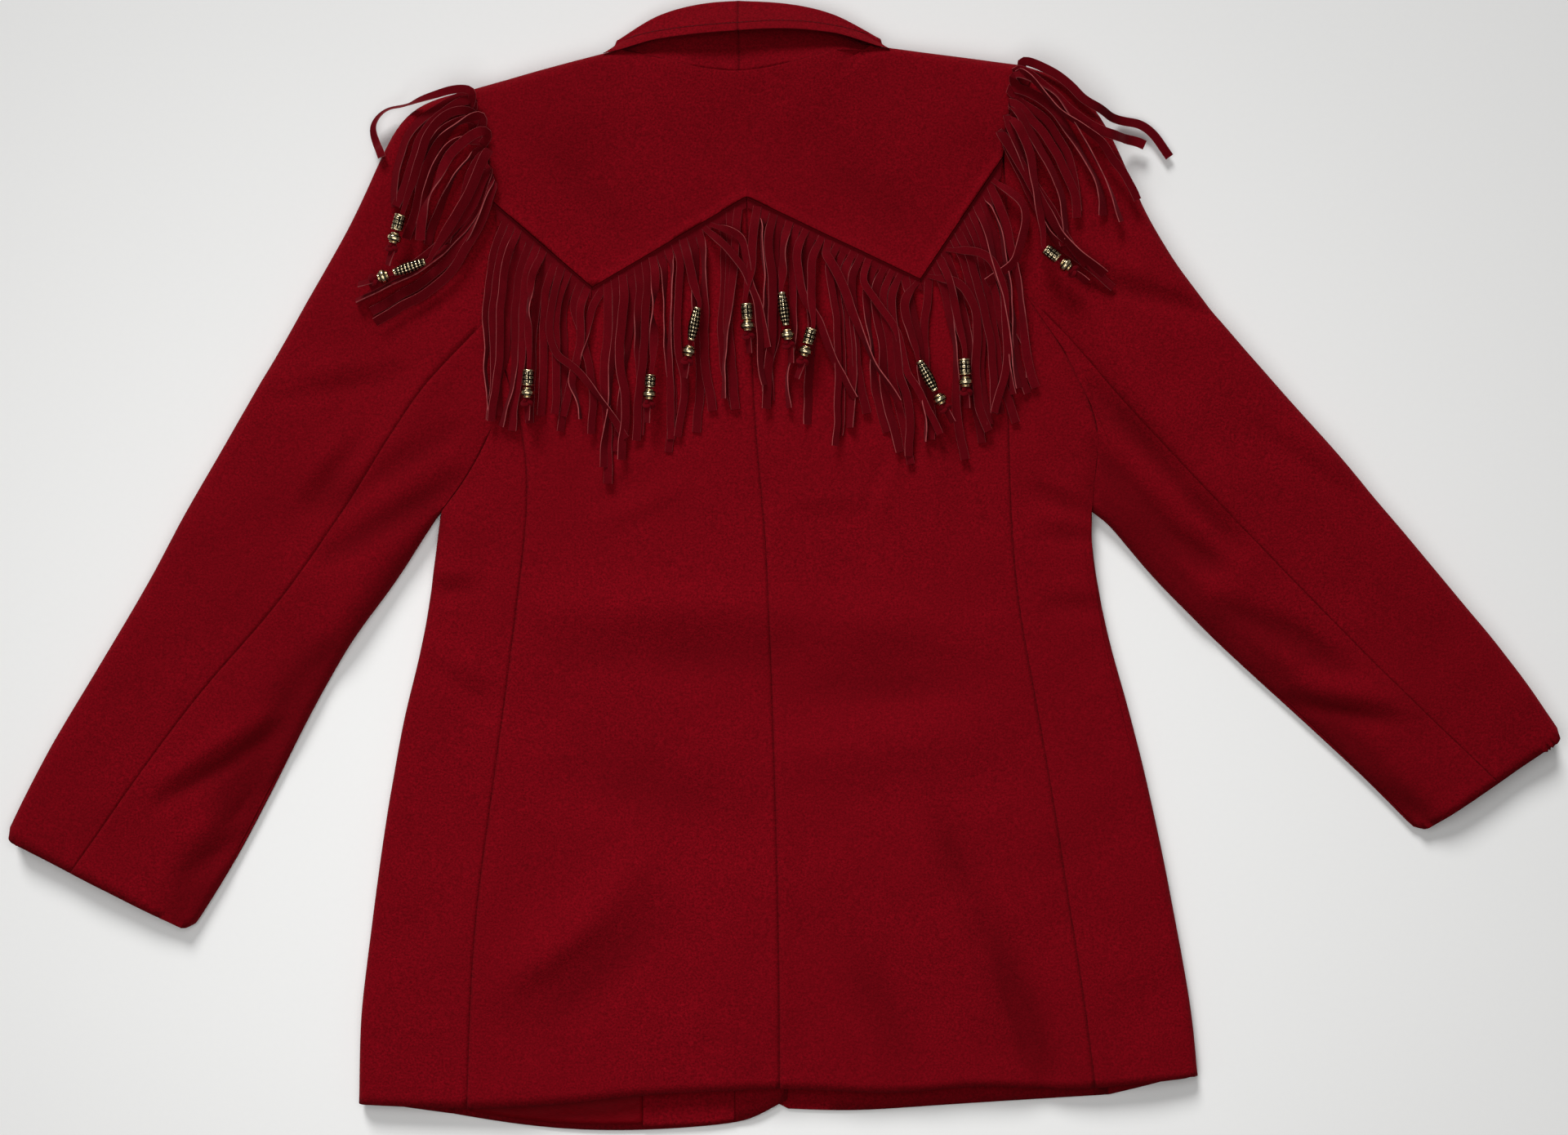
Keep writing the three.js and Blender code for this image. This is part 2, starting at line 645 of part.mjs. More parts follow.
// Strips that leave the others, each in its slot of a fringe, counted from the band's start.
const LOOSE_STRIPS = [
  {
    fringe: 'yoke_1',
    slot: 9,
    layer: 4,
    path: [
      { x: -167, y: 186 }, { x: -166, y: 157 }, { x: -150, y: 143 }, { x: -115, y: 91 },
    ],
  },
  {
    fringe: 'yoke_2',
    slot: 15,
    layer: 4,
    path: [
      { x: -30, y: 237 }, { x: -26, y: 209 }, { x: -17, y: 180 }, { x: -13, y: 160 },
    ],
  },
  {
    fringe: 'yoke_2',
    slot: 14,
    layer: 5,
    path: [
      { x: -44, y: 232 }, { x: -30, y: 215 }, { x: -19, y: 190 }, { x: -14, y: 160 },
      { x: -15, y: 135 },
    ],
  },
  {
    fringe: 'yoke_3',
    slot: 6,
    layer: 4,
    path: [
      { x: 8, y: 227 }, { x: 12, y: 201 }, { x: 23, y: 180 }, { x: 51, y: 125 },
    ],
  },
  {
    fringe: 'yoke_3',
    slot: 9,
    layer: 5,
    path: [
      { x: 30, y: 225 }, { x: 39, y: 210 }, { x: 48, y: 188 }, { x: 64, y: 151 }, { x: 77, y: 122 },
    ],
  },
  {
    fringe: 'yoke_3',
    slot: 14,
    layer: 4,
    path: [
      { x: 55, y: 206 }, { x: 78, y: 175 }, { x: 87, y: 145 }, { x: 109, y: 96 },
    ],
  },
  {
    fringe: 'yoke_4',
    slot: 1,
    layer: 4,
    path: [
      { x: 126, y: 205 }, { x: 137, y: 184 }, { x: 137, y: 154 }, { x: 141, y: 113 }, { x: 151, y: 97 },
    ],
  },
  {
    fringe: 'yoke_4',
    slot: 5,
    layer: 5,
    path: [
      { x: 146, y: 224 }, { x: 157, y: 204 }, { x: 160, y: 165 }, { x: 159, y: 138 },
      { x: 155, y: 110 },
    ],
  },
  {
    fringe: 'yoke_4',
    slot: 15,
    layer: 4,
    path: [
      { x: 170, y: 262 }, { x: 171, y: 238 }, { x: 166, y: 217 }, { x: 158, y: 209 },
    ],
  },
  {
    fringe: 'shoulder_left',
    slot: 1,
    layer: 4,
    path: [
      { x: -262, y: 334 }, { x: -289, y: 331 }, { x: -298, y: 316 }, { x: -290, y: 298 },
    ],
  },
  {
    fringe: 'shoulder_right',
    slot: 0,
    layer: 1,
    path: [
      { x: 200, y: 350 }, { x: 224, y: 330 }, { x: 259, y: 320 }, { x: 277, y: 298 },
    ],
  },
  {
    fringe: 'shoulder_right',
    slot: 1,
    layer: 4,
    path: [
      { x: 196, y: 333 }, { x: 224, y: 313 }, { x: 247, y: 310 }, { x: 270, y: 302 },
    ],
  },
  {
    fringe: 'shoulder_right',
    slot: 2,
    layer: 5,
    path: [
      { x: 195, y: 326 }, { x: 224, y: 306 }, { x: 253, y: 268 }, { x: 256, y: 260 },
    ],
  },
];

// Strips that carry a bead and a ball above a knot.
const BEADED_STRIPS = [
  { fringe: 'yoke_1', slot: 6, kind: 'cylinder', beadX: -183, beadY: 135.7, ballX: -183.5, ballY: 125 },
  { fringe: 'yoke_2', slot: 7, kind: 'short', beadX: -95.6, beadY: 133.3, ballX: -96.2, ballY: 123.9 },
  { fringe: 'yoke_2', slot: 11, kind: 'long', beadX: -64.3, beadY: 174, ballX: -67.9, ballY: 154.6 },
  { fringe: 'yoke_3', slot: 0, kind: 'cylinder', beadX: -26.6, beadY: 182.9, ballX: -26, ballY: 172.9 },
  { fringe: 'yoke_3', slot: 4, kind: 'long', beadX: 0, beadY: 184.7, ballX: 2.4, ballY: 166.4 },
  { fringe: 'yoke_3', slot: 8, kind: 'cylinder', beadX: 18.3, beadY: 165.2, ballX: 15.3, ballY: 154.6 },
  { fringe: 'yoke_3', slot: 20, kind: 'long', beadX: 102.7, beadY: 136.9, ballX: 111.5, ballY: 120.4 },
  { fringe: 'yoke_4', slot: 3, kind: 'cylinder', beadX: 129.2, beadY: 143.4, ballX: 129.8, ballY: 132.8 },
  { fringe: 'shoulder_left', slot: 3, kind: 'cylinder', beadX: -275, beadY: 246, ballX: -278, ballY: 235 },
  { fringe: 'shoulder_left', slot: 10, kind: 'long', beadX: -267.3, beadY: 214.2, ballX: -286, ballY: 207.7 },
  { fringe: 'shoulder_right', slot: 8, kind: 'cylinder', beadX: 191, beadY: 224, ballX: 201, ballY: 216 },
];

// ---------------------------------------------------------------- plan geometry

const mix = (a, b, share) => a + (b - a) * share;
const clamp = (value, low, high) => Math.min(Math.max(value, low), high);
const vector = (point) => new THREE.Vector2(point.x, point.y);

function smoothStep(from, to, value) {
  const share = clamp((value - from) / (to - from), 0, 1);
  return share * share * (3 - 2 * share);
}

/** Value of one column of a table whose rows run along y, up or down. */
function atLevel(rows, column, y) {
  const falling = rows[0].y > rows[rows.length - 1].y;
  const ordered = falling ? [...rows].reverse() : rows;
  const level = clamp(y, ordered[0].y, ordered[ordered.length - 1].y);
  const next = Math.max(1, ordered.findIndex((row) => row.y >= level));
  const low = ordered[next - 1];
  const high = ordered[next];
  return mix(low[column], high[column], (level - low.y) / (high.y - low.y));
}

/** Height of a line of points above a given x. */
function atAcross(points, x) {
  const rows = points.map((point) => ({ y: point.x, value: point.y }));
  return atLevel(rows, 'value', x);
}

/** Shares of a line's whole length at each of its points. */
function lengthShares(points) {
  const sums = [0];
  for (let i = 1; i < points.length; i += 1) {
    sums.push(sums[i - 1] + vector(points[i]).distanceTo(vector(points[i - 1])));
  }
  return sums.map((sum) => sum / sums[sums.length - 1]);
}

function lengthOf(points) {
  return points.slice(1).reduce((sum, point, index) => sum + point.distanceTo(points[index]), 0);
}

/** Point at a share of a line's length. */
function pointAlong(points, share) {
  const shares = lengthShares(points);
  const next = Math.max(1, shares.findIndex((value) => value >= share - 1e-9));
  const local = (share - shares[next - 1]) / (shares[next] - shares[next - 1]);
  return vector(points[next - 1]).lerp(vector(points[next]), local);
}

/** Direction of a line at a share of its length. */
function directionAlong(points, share) {
  const before = pointAlong(points, Math.max(share - 0.02, 0));
  const after = pointAlong(points, Math.min(share + 0.02, 1));
  return after.sub(before).normalize();
}

/** Share of the way from a to b at which a line of points is crossed. */
function crossingShare(a, b, points) {
  const ray = b.clone().sub(a);
  for (let i = 1; i < points.length; i += 1) {
    const start = vector(points[i - 1]);
    const side = vector(points[i]).sub(start);
    const gap = start.clone().sub(a);
    const scale = ray.cross(side);
    const onRay = gap.cross(side) / scale;
    const onSide = gap.cross(ray) / scale;
    if (onSide >= -0.02 && onSide <= 1.02 && onRay > 0.05 && onRay < 0.95) return onRay;
  }
  throw new Error('the hind-arm seam misses a station');
}

// ---------------------------------------------------------------- how thick the blazer lies

/** How far a point lies past the armhole, on the sleeve's side of it. */
function pastArmhole(side, x, y) {
  if (y > side.underarm.y) {
    return (x - atLevel(side.backArmhole, 'x', y)) * side.sign;
  }
  return (x - atLevel(BODY_ROWS, side.name, y)) * side.sign;
}

function sleeveHeight(side, x, y) {
  const top = vector(side.shoulder).lerp(vector(side.underarm), 0.5);
  const cuff = pointAlong(side.sleeveOuter, 1).lerp(pointAlong(side.sleeveInner, 1), 0.5);
  const axis = cuff.clone().sub(top);
  const share = new THREE.Vector2(x, y).sub(top).dot(axis) / axis.lengthSq();
  return atLevel(SLEEVE_HEIGHTS, 'height', share);
}

function foldHeight(x, y) {
  const point = new THREE.Vector2(x, y);
  return FOLDS.reduce((sum, fold) => {
    const start = new THREE.Vector2(fold.x0, fold.y0);
    const run = new THREE.Vector2(fold.x1, fold.y1).sub(start);
    const share = clamp(point.clone().sub(start).dot(run) / run.lengthSq(), 0, 1);
    const away = point.distanceTo(start.addScaledVector(run, share)) / fold.width;
    return sum + fold.height * Math.exp(-away * away);
  }, 0);
}

/** Height of the upper surface of the cloth, away from its rolled edges. */
function topHeight(x, y) {
  const side = x < (LEFT.underarm.x + RIGHT.underarm.x) / 2 ? LEFT : RIGHT;
  const past = smoothStep(-5, ARMHOLE_BLEND, pastArmhole(side, x, y));
  const body = atLevel(BODY_ROWS, 'height', y);
  const pads = PADS.reduce((sum, pad) => {
    const away = Math.hypot(x - pad.x, y - pad.y) / pad.radius;
    return sum + pad.height * Math.exp(-away * away);
  }, 0);
  return mix(body, sleeveHeight(side, x, y), past) + pads + foldHeight(x, y);
}

/** How far a front is lifted by the piece that lies under it. */
function frontLift(side, x, y) {
  const inside = (atLevel(side.riseLine, 'x', y) - x) * side.sign;
  const fade = smoothStep(side.riseEnds.to, side.riseEnds.from, y);
  return (CLOTH + PLY_GAP) * smoothStep(-FRONT_STEP - FRONT_FLAT, -FRONT_FLAT, inside) * fade;
}

// ---------------------------------------------------------------- solids

/** Moves the seam edges of a grid of points back by half the seam gap. */
function seamedGrid(grid, seams) {
  const lastRow = grid.length - 1;
  const lastColumn = grid[0].length - 1;
  const moved = grid.map((row) => row.map((point) => point.clone()));
  const pull = (row, column, rowIn, columnIn, alongRows) => {
    const point = grid[row][column];
    const into = grid[rowIn][columnIn].clone().sub(point).normalize();
    const before = alongRows ? grid[Math.max(row - 1, 0)][column] : grid[row][Math.max(column - 1, 0)];
    const after = alongRows
      ? grid[Math.min(row + 1, lastRow)][column]
      : grid[row][Math.min(column + 1, lastColumn)];
    const along = after.clone().sub(before).normalize();
    const slant = Math.sqrt(Math.max(1 - into.dot(along) ** 2, LEAST_SLANT));
    moved[row][column].addScaledVector(into, SEAM_GAP / 2 / slant);
  };
  for (let column = 0; column <= lastColumn; column += 1) {
    if (seams.firstRow) pull(0, column, 1, column, false);
    if (seams.lastRow) pull(lastRow, column, lastRow - 1, column, false);
  }
  for (let row = 0; row <= lastRow; row += 1) {
    if (seams.firstColumn) pull(row, 0, row, 1, true);
    if (seams.lastColumn) pull(row, lastColumn, row, lastColumn - 1, true);
  }
  return moved;
}

/** Turns triangles round if they enclose a negative volume. */
function facingOut(positions, triangles) {
  const corner = (index) => new THREE.Vector3().fromArray(positions, index * 3);
  const volume = triangles.reduce(
    (sum, [a, b, c]) => sum + corner(a).dot(corner(b).cross(corner(c))),
    0,
  );
  return volume > 0 ? triangles : triangles.map(([a, b, c]) => [a, c, b]);
}

function geometryOf(positions, triangles) {
  const geometry = new THREE.BufferGeometry();
  geometry.setAttribute('position', new THREE.Float32BufferAttribute(positions, 3));
  geometry.setIndex(facingOut(positions, triangles).flat());
  geometry.computeVertexNormals();
  return geometry;
}

/** Closed sheet between a grid of outer points and the matching grid of inner points. */
function sheetGeometry(outerGrid, innerGrid, seams) {
  const outer = seamedGrid(outerGrid, seams);
  const inner = seamedGrid(innerGrid, seams);
  const rows = outer.length;
  const columns = outer[0].length;
  const positions = [...outer.flat(), ...inner.flat()].flatMap((point) => point.toArray());
  const outerAt = (row, column) => row * columns + column;
  const innerAt = (row, column) => rows * columns + outerAt(row, column);
  const triangles = [];
  const quad = (a, b, c, d) => triangles.push([a, b, c], [a, c, d]);
  for (let row = 1; row < rows; row += 1) {
    for (let column = 1; column < columns; column += 1) {
      const corners = [[row - 1, column - 1], [row, column - 1], [row, column], [row - 1, column]];
      quad(...corners.map(([i, j]) => outerAt(i, j)));
      quad(...corners.map(([i, j]) => innerAt(i, j)).reverse());
    }
  }
  const rim = (from, to) => quad(outerAt(...to), outerAt(...from), innerAt(...from), innerAt(...to));
  for (let row = 1; row < rows; row += 1) {
    rim([row - 1, 0], [row, 0]);
    rim([row, columns - 1], [row - 1, columns - 1]);
  }
  for (let column = 1; column < columns; column += 1) {
    rim([0, column], [0, column - 1]);
    rim([rows - 1, column - 1], [rows - 1, column]);
  }
  return geometryOf(positions, triangles);
}

/** Sheet whose points are given by a function of row, column and depth into the cloth. */
function sheetOf(rows, columns, pointAt, seams, thickness = CLOTH) {
  const gridAt = (depth) =>
    rows.map((row, index) => columns.map((column) => pointAt(row, column, depth, index)));
  return sheetGeometry(gridAt(0), gridAt(thickness), seams);
}

const range = (count) => Array.from({ length: count }, (_, index) => index);
const ALL_SEAMS = { firstRow: true, lastRow: true, firstColumn: true, lastColumn: true };

/** Radius of the rolled edge at a point of the outline. */
function rollRadius(edge, inward, base = 0) {
  const x = edge.x + inward.x * EDGE_PROBE;
  const y = edge.y + inward.y * EDGE_PROBE;
  return (topHeight(x, y) - base) / 2;
}

/** Point on a rolled edge: 90 degrees is on top, 0 outermost, -90 underneath. */
function rollPoint(edge, inward, radius, base, degrees, depth) {
  const angle = THREE.MathUtils.degToRad(degrees);
  const inset = radius - (radius - depth) * Math.cos(angle);
  return new THREE.Vector3(
    edge.x + inward.x * inset,
    edge.y + inward.y * inset,
    base + radius + (radius - depth) * Math.sin(angle),
  );
}

const onTop = (point, depth) => new THREE.Vector3(point.x, point.y, topHeight(point.x, point.y) - depth);
const underneath = (point, depth) => new THREE.Vector3(point.x, point.y, depth);

/** Panel folded round an edge: top points, the rolled edge, then points underneath. */
function foldedPanel(stations, seams) {
  const gridAt = (depth) =>
    stations.map(({ edge, inTop, inUnder, top, under }) => {
      const radius = rollRadius(edge, inTop);
      const row = top.map((point) => onTop(point, depth));
      for (let degrees = 90; degrees >= -90; degrees -= ROLL_STEP) {
        row.push(rollPoint(edge, degrees >= 0 ? inTop : inUnder, radius, 0, degrees, depth));
      }
      row.push(...under.map((point) => underneath(point, depth)));
      return row;
    });
  return sheetGeometry(gridAt(0), gridAt(CLOTH), seams);
}

// ---------------------------------------------------------------- sleeves

const bowFade = (row) => Math.max(1 - row / BOW_ROWS, 0) ** 2;

/** Direction square to an edge, turned to the side where a point lies. */
function squareTo(direction, from, toward) {
  const square = new THREE.Vector2(-direction.y, direction.x);
  return square.dot(toward.clone().sub(from)) > 0 ? square : square.negate();
}

/** Points across one layer of a sleeve, from outer to inner edge, at one station. */
function sleeveLayer(armhole, seamAt, seamShare, row, outer, inner) {
  const shares = lengthShares(armhole);
  const start = vector(armhole[0]);
  const end = vector(armhole[armhole.length - 1]);
  const seam = shares[seamAt];
  return armhole.map((point, index) => {
    const share = shares[index];
    const placed = share <= seam
      ? (share * seamShare) / seam
      : 1 - ((1 - share) * (1 - seamShare)) / (1 - seam);
    const bow = vector(point).sub(start.clone().lerp(end, share));
    return outer.clone().lerp(inner, placed).addScaledVector(bow, bowFade(row));
  });
}

function sleeveStations(side) {
  return SLEEVE_STATIONS.map((station, row) => {
    const outer = pointAlong(side.sleeveOuter, station.outer);
    const inner = pointAlong(side.sleeveInner, station.inner);
    const backSeam = lengthShares(side.backArmhole)[side.sleeveSeamAt];
    const frontSeam = lengthShares(side.frontArmhole)[side.sleeveFrontSeamAt];
    const bow = vector(side.backArmhole[side.sleeveSeamAt])
      .sub(vector(side.shoulder).lerp(vector(side.underarm), backSeam))
      .multiplyScalar(bowFade(row));
    const seamShare = row === 0
      ? backSeam
      : crossingShare(outer.clone().add(bow), inner.clone().add(bow), side.sleeveSeam);
    const frontShare = mix(frontSeam, FRONT_SEAM_SHARE, smoothStep(0, FRONT_SEAM_ROWS, row));
    const top = sleeveLayer(side.backArmhole, side.sleeveSeamAt, seamShare, row, outer, inner);
    const under = sleeveLayer(side.frontArmhole, side.sleeveFrontSeamAt, frontShare, row, outer, inner);
    const turn = clamp(row / SLEEVE_TURN_ROWS, 0, 1);
    const outerSquare = squareTo(directionAlong(side.sleeveOuter, station.outer), outer, inner);
    const innerSquare = squareTo(directionAlong(side.sleeveInner, station.inner), inner, outer);
    const turned = (from, to, square) => to.clone().sub(from).normalize().lerp(square, turn).normalize();
    return {
      outer,
      inner,
      top,
      under,
      outerInTop: turned(outer, top[1], outerSquare),
      outerInUnder: turned(outer, under[1], outerSquare),
      innerInTop: turned(inner, top[top.length - 2], innerSquare),
      innerInUnder: turned(inner, under[under.length - 2], innerSquare),
    };
  });
}

function topSleeve(side) {
  const stations = sleeveStations(side).map((station) => ({
    edge: station.outer,
    inTop: station.outerInTop,
    inUnder: station.outerInUnder,
    top: station.top.slice(1, side.sleeveSeamAt + 1).reverse(),
    under: station.under.slice(1, side.sleeveFrontSeamAt + 1),
  }));
  return foldedPanel(stations, { firstRow: true, firstColumn: true, lastColumn: true });
}

function underSleeve(side) {
  const stations = sleeveStations(side).map((station) => ({
    edge: station.inner,
    inTop: station.innerInTop,
    inUnder: station.innerInUnder,
    top: station.top.slice(side.sleeveSeamAt, -1),
    under: station.under.slice(side.sleeveFrontSeamAt, -1).reverse(),
  }));
  return foldedPanel(stations, { firstRow: true, firstColumn: true, lastColumn: true });
}

// ---------------------------------------------------------------- body

/** Point across a panel row, with the panel's curved first row dying out below it. */
function bowedPoint(line, index, row, from, to) {
  const share = lengthShares(line)[index];
  const bow = vector(line[index]).sub(vector(line[0]).lerp(vector(line[line.length - 1]), share));
  return from.clone().lerp(to, share).addScaledVector(bow, bowFade(row));
}

/** Seam between the side panel and the front: its point at a share of the side's length. */
function sideSeamPoint(side, share) {
  return vector(side.frontArmhole[side.sideSeamAt]).lerp(vector(side.sideSeamHem), share);
}

/** Shares of the side's length at the rows that the side panel has. */
function sideShares(side) {
  const rows = side.backOuter.slice(side.princessRow);
  const height = rows[0].y - rows[rows.length - 1].y;
  return rows.map((row) => (rows[0].y - row.y) / height);
}

function sidePanel(side) {
  const topLine = side.backArmhole.slice(side.princessAt);
  const underLine = side.frontArmhole.slice(side.sideSeamAt);
  const princess = side.backOuter.slice(side.princessRow);
  const stations = sideShares(side).map((share, row) => {
    const y = mix(side.underarm.y, side.hemCorner.y, share);
    const clearance = row === 0 ? UNDERARM_CLEARANCE : 0;
    const edge = new THREE.Vector2(atLevel(BODY_ROWS, side.name, y) - side.sign * clearance, y);
    const seam = vector(princess[row]);
    const underSeam = sideSeamPoint(side, share);
    const across = (line, from) =>
      line.slice(0, -1).map((_, index) => bowedPoint(line, index, row, from, edge));
    const top = across(topLine, seam);
    const under = across(underLine, underSeam);
    const square = new THREE.Vector2(-side.sign, 0);
    const turn = clamp(row / 2, 0, 1);
    const turned = (to) => to.clone().sub(edge).normalize().lerp(square, turn).normalize();
    return {
      edge,
      inTop: turned(top[top.length - 1]),
      inUnder: turned(under[under.length - 1]),
      top,
      under: under.reverse(),
    };
  });
  return foldedPanel(stations, { firstRow: true, firstColumn: true, lastColumn: true });
}

const YOKE_CELLS = 4; // columns in each straight stretch of the yoke's edge

/** Points along the yoke's edge, YOKE_CELLS to a stretch. */
function yokeEdgePoints() {
  const points = [vector(YOKE_EDGE[0])];
  for (let stretch = 1; stretch < YOKE_EDGE.length; stretch += 1) {
    for (let cell = 1; cell <= YOKE_CELLS; cell += 1) {
      points.push(vector(YOKE_EDGE[stretch - 1]).lerp(vector(YOKE_EDGE[stretch]), cell / YOKE_CELLS));
    }
  }
  return points;
}

function backPanel(side) {
  const middle = 2 * YOKE_CELLS;
  const edge = yokeEdgePoints();
  const topLine = side === LEFT ? edge.slice(0, middle + 1).reverse() : edge.slice(middle);
  const columns = range(topLine.length);
  const last = BACK_LEVELS.length - 1;
  const point = (level, column, depth, row) => {
    const share = column / (topLine.length - 1);
    const centre = new THREE.Vector2(atLevel(CENTRE_BACK, 'x', level), level);
    const outer = vector(side.backOuter[row]);
    const straight = centre.clone().lerp(outer, share);
    const bow = topLine[column].clone().sub(vector(topLine[0]).lerp(topLine[topLine.length - 1], share));
    const fade = Math.max(1 - row / YOKE_POINT_ROWS, 0);
    const placed = straight.addScaledVector(bow, fade);
    if (row === last) placed.y = atAcross(BACK_HEM, placed.x);
    return onTop(placed, depth);
  };
  return sheetOf(BACK_LEVELS, columns, point, { firstRow: true, firstColumn: true, lastColumn: true });
}

const DOWN = new THREE.Vector2(0, -1); // towards the hem
const YOKE_ROWS = [0, 1 / 3, 2 / 3, 1, 1.45]; // up to the armhole's bend, then above it
const SHOULDER_DEGREES = [90, 60, 30, 0];

/** Ridge of the shoulder from the shoulder point to the neck point. */
function shoulderLine(side) {
  const neck = vector(NECKLINE[side.neckIndex]);
  return range(YOKE_CELLS + 1).map((cell) => vector(side.shoulder).lerp(neck, cell / YOKE_CELLS));
}

/** Radius of the shoulder's folded edge, and the height of its underside. */
function shoulderRoll(side, edge) {
  const base = frontLift(side, edge.x, edge.y);
  return { base, radius: rollRadius(edge, DOWN, base) };
}

function backYoke() {
  const lower = yokeEdgePoints();
  const leftShoulder = shoulderLine(LEFT);
  const rightShoulder = shoulderLine(RIGHT).reverse();
  const upper = [...leftShoulder, ...NECKLINE.slice(1, -1).map(vector), ...rightShoulder];
  const lastColumn = upper.length - 1;
  const gridAt = (depth) =>
    upper.map((top, column) => {
      const nearest = column <= lastColumn / 2 ? LEFT : RIGHT;
      const fromArmhole = Math.min(column, lastColumn - column);
      const bend = vector(nearest.backArmhole[1]);
      const corner = vector(nearest.backArmhole[2]);
      const shoulder = vector(nearest.shoulder);
      const bendShare = corner.distanceTo(bend) / (corner.distanceTo(bend) + bend.distanceTo(shoulder));
      const bow = bend.clone().sub(corner.lerp(shoulder, bendShare)).multiplyScalar(bowFade(fromArmhole));
      const placed = (share) => {
        const strength = share < bendShare ? share / bendShare : (1 - share) / (1 - bendShare);
        return lower[column].clone().lerp(top, share).addScaledVector(bow, strength);
      };
      const shares = YOKE_ROWS.map((row) => (row <= 1 ? row * bendShare : mix(bendShare, 1, row - 1)));
      const points = shares.map((share) => onTop(placed(share), depth));
      const isShoulder = fromArmhole <= YOKE_CELLS;
      const inward = placed(shares[shares.length - 1]).sub(top).normalize();
      const { base, radius } = shoulderRoll(nearest, top);
      SHOULDER_DEGREES.forEach((degrees, step) => {
        if (isShoulder) {
          points.push(rollPoint(top, inward, radius, base, degrees, depth));
          return;
        }
        const share = mix(shares[shares.length - 1], 1, (step + 1) / SHOULDER_DEGREES.length);
        points.push(onTop(placed(share), depth));
      });
      return points;
    });
  return sheetGeometry(gridAt(0), gridAt(CLOTH), ALL_SEAMS);
}

const FRONT_COLUMNS = 5; // columns outside the step over the piece below
const FRONT_LEVEL_SHARE = 0.6; // where across a front's row its level is read

function frontPanel(side) {
  const armhole = side.frontArmhole.slice(1, side.sideSeamAt + 1);
  const seamRows = sideShares(side).slice(1).map((share) => sideSeamPoint(side, share));
  const outerPoints = [...armhole.map(vector), ...seamRows];
  const ridge = shoulderLine(side);
  const rolls = ridge.map((edge) => shoulderRoll(side, edge));
  const shoulderRows = [...SHOULDER_DEGREES].reverse();
  const rowCount = outerPoints.length;
  const columns = range(FRONT_COLUMNS + 3);
  const lastColumn = columns.length - 1;

  /** Plan point below the shoulder, column 0 on the armhole or side seam. */
  const placed = (row, column) => {
    const outer = outerPoints[row];
    const inner = pointAlong(side.frontEdge, (row + 1) / rowCount);
    const level = mix(outer.y, inner.y, FRONT_LEVEL_SHARE);
    const rise = atLevel(side.riseLine, 'x', level);
    const across = (x) => {
      const share = (x - outer.x) / (inner.x - outer.x);
      return new THREE.Vector2(x, mix(outer.y, inner.y, share));
    };
    let point;
    if (column <= FRONT_COLUMNS) {
      point = across(mix(outer.x, rise + side.sign * (FRONT_STEP + FRONT_FLAT), column / FRONT_COLUMNS));
    } else if (column === lastColumn) {
      point = inner.clone();
    } else {
      point = across(mix(rise - side.sign * FRONT_RISE_INSET, inner.x, column - FRONT_COLUMNS - 1));
    }
    if (row === rowCount - 1) point.y = atAcross(side.frontHem, point.x);
    return point;
  };

  const gridAt = (depth) => {
    const below = range(rowCount).map((row) =>
      columns.map((column) => {
        const point = placed(row, column);
        const lift = frontLift(side, point.x, point.y);
        return new THREE.Vector3(point.x, point.y, lift + depth);
      }),
    );
    const rolled = shoulderRows.map((degrees) =>
      columns.map((column) => {
        const share = (column / lastColumn) * YOKE_CELLS;
        const cell = Math.min(Math.floor(share), YOKE_CELLS - 1);
        const edge = ridge[cell].clone().lerp(ridge[cell + 1], share - cell);
        const inward = placed(0, column).sub(edge).normalize();
        const base = mix(rolls[cell].base, rolls[cell + 1].base, share - cell);
        const radius = mix(rolls[cell].radius, rolls[cell + 1].radius, share - cell);
        return rollPoint(edge, inward, radius, base, -degrees, depth);
      }),
    );
    return [...rolled, ...below];
  };
  return sheetGeometry(gridAt(0), gridAt(CLOTH), { firstRow: true, firstColumn: true });
}

// ---------------------------------------------------------------- collar and lapels

const COLLAR_ROLL = 5; // radius of the collar's roll line
const COLLAR_SAG = 2; // how far off the surface the collar's stand lies at the roll line

function collarHalf(side) {
  const seam = side === LEFT ? NECKLINE.slice(0, 5).reverse() : NECKLINE.slice(4);
  const shares = [0, 0.35, 0.7, 1];
  const gridAt = (depth) =>
    side.collarRows.map((row, index) => {
      const start = vector(seam[index]);
      const roll = new THREE.Vector2(row.rollX, row.rollY);
      const edge = new THREE.Vector2(row.edgeX, row.edgeY);
      const outward = roll.clone().sub(start).normalize();
      const seamBottom = topHeight(start.x, start.y) - CLOTH;
      const spine = roll.clone().addScaledVector(outward, -COLLAR_ROLL);
      const points = shares.map((share) => {
        const point = start.clone().lerp(spine, share);
        return new THREE.Vector3(point.x, point.y, mix(seamBottom, COLLAR_SAG, share) + depth);
      });
      for (let degrees = -60; degrees <= 90; degrees += ROLL_STEP) {
        const angle = THREE.MathUtils.degToRad(degrees);
        const reach = COLLAR_ROLL - depth;
        const point = spine.clone().addScaledVector(outward, reach * Math.cos(angle));
        points.push(new THREE.Vector3(point.x, point.y, COLLAR_SAG + COLLAR_ROLL + reach * Math.sin(angle)));
      }
      const fallStart = COLLAR_SAG + 2 * COLLAR_ROLL;
      [0.5, 1].forEach((share) => {
        const point = spine.clone().lerp(edge, share);
        points.push(new THREE.Vector3(point.x, point.y, mix(fallStart, row.lift, share) - depth));
      });
      return points;
    });
  return sheetGeometry(gridAt(0), gridAt(CLOTH), { firstRow: true, firstColumn: true });
}

const LAPEL_LEVELS = [345, 300, 240, 180, 120, 90];
const LAPEL_TIP_HEIGHT = 15; // clear height above the lapel's lower end
const LAPEL_TIP_WIDTH = 8;
const LAPEL_TIP_SLANT = 3;

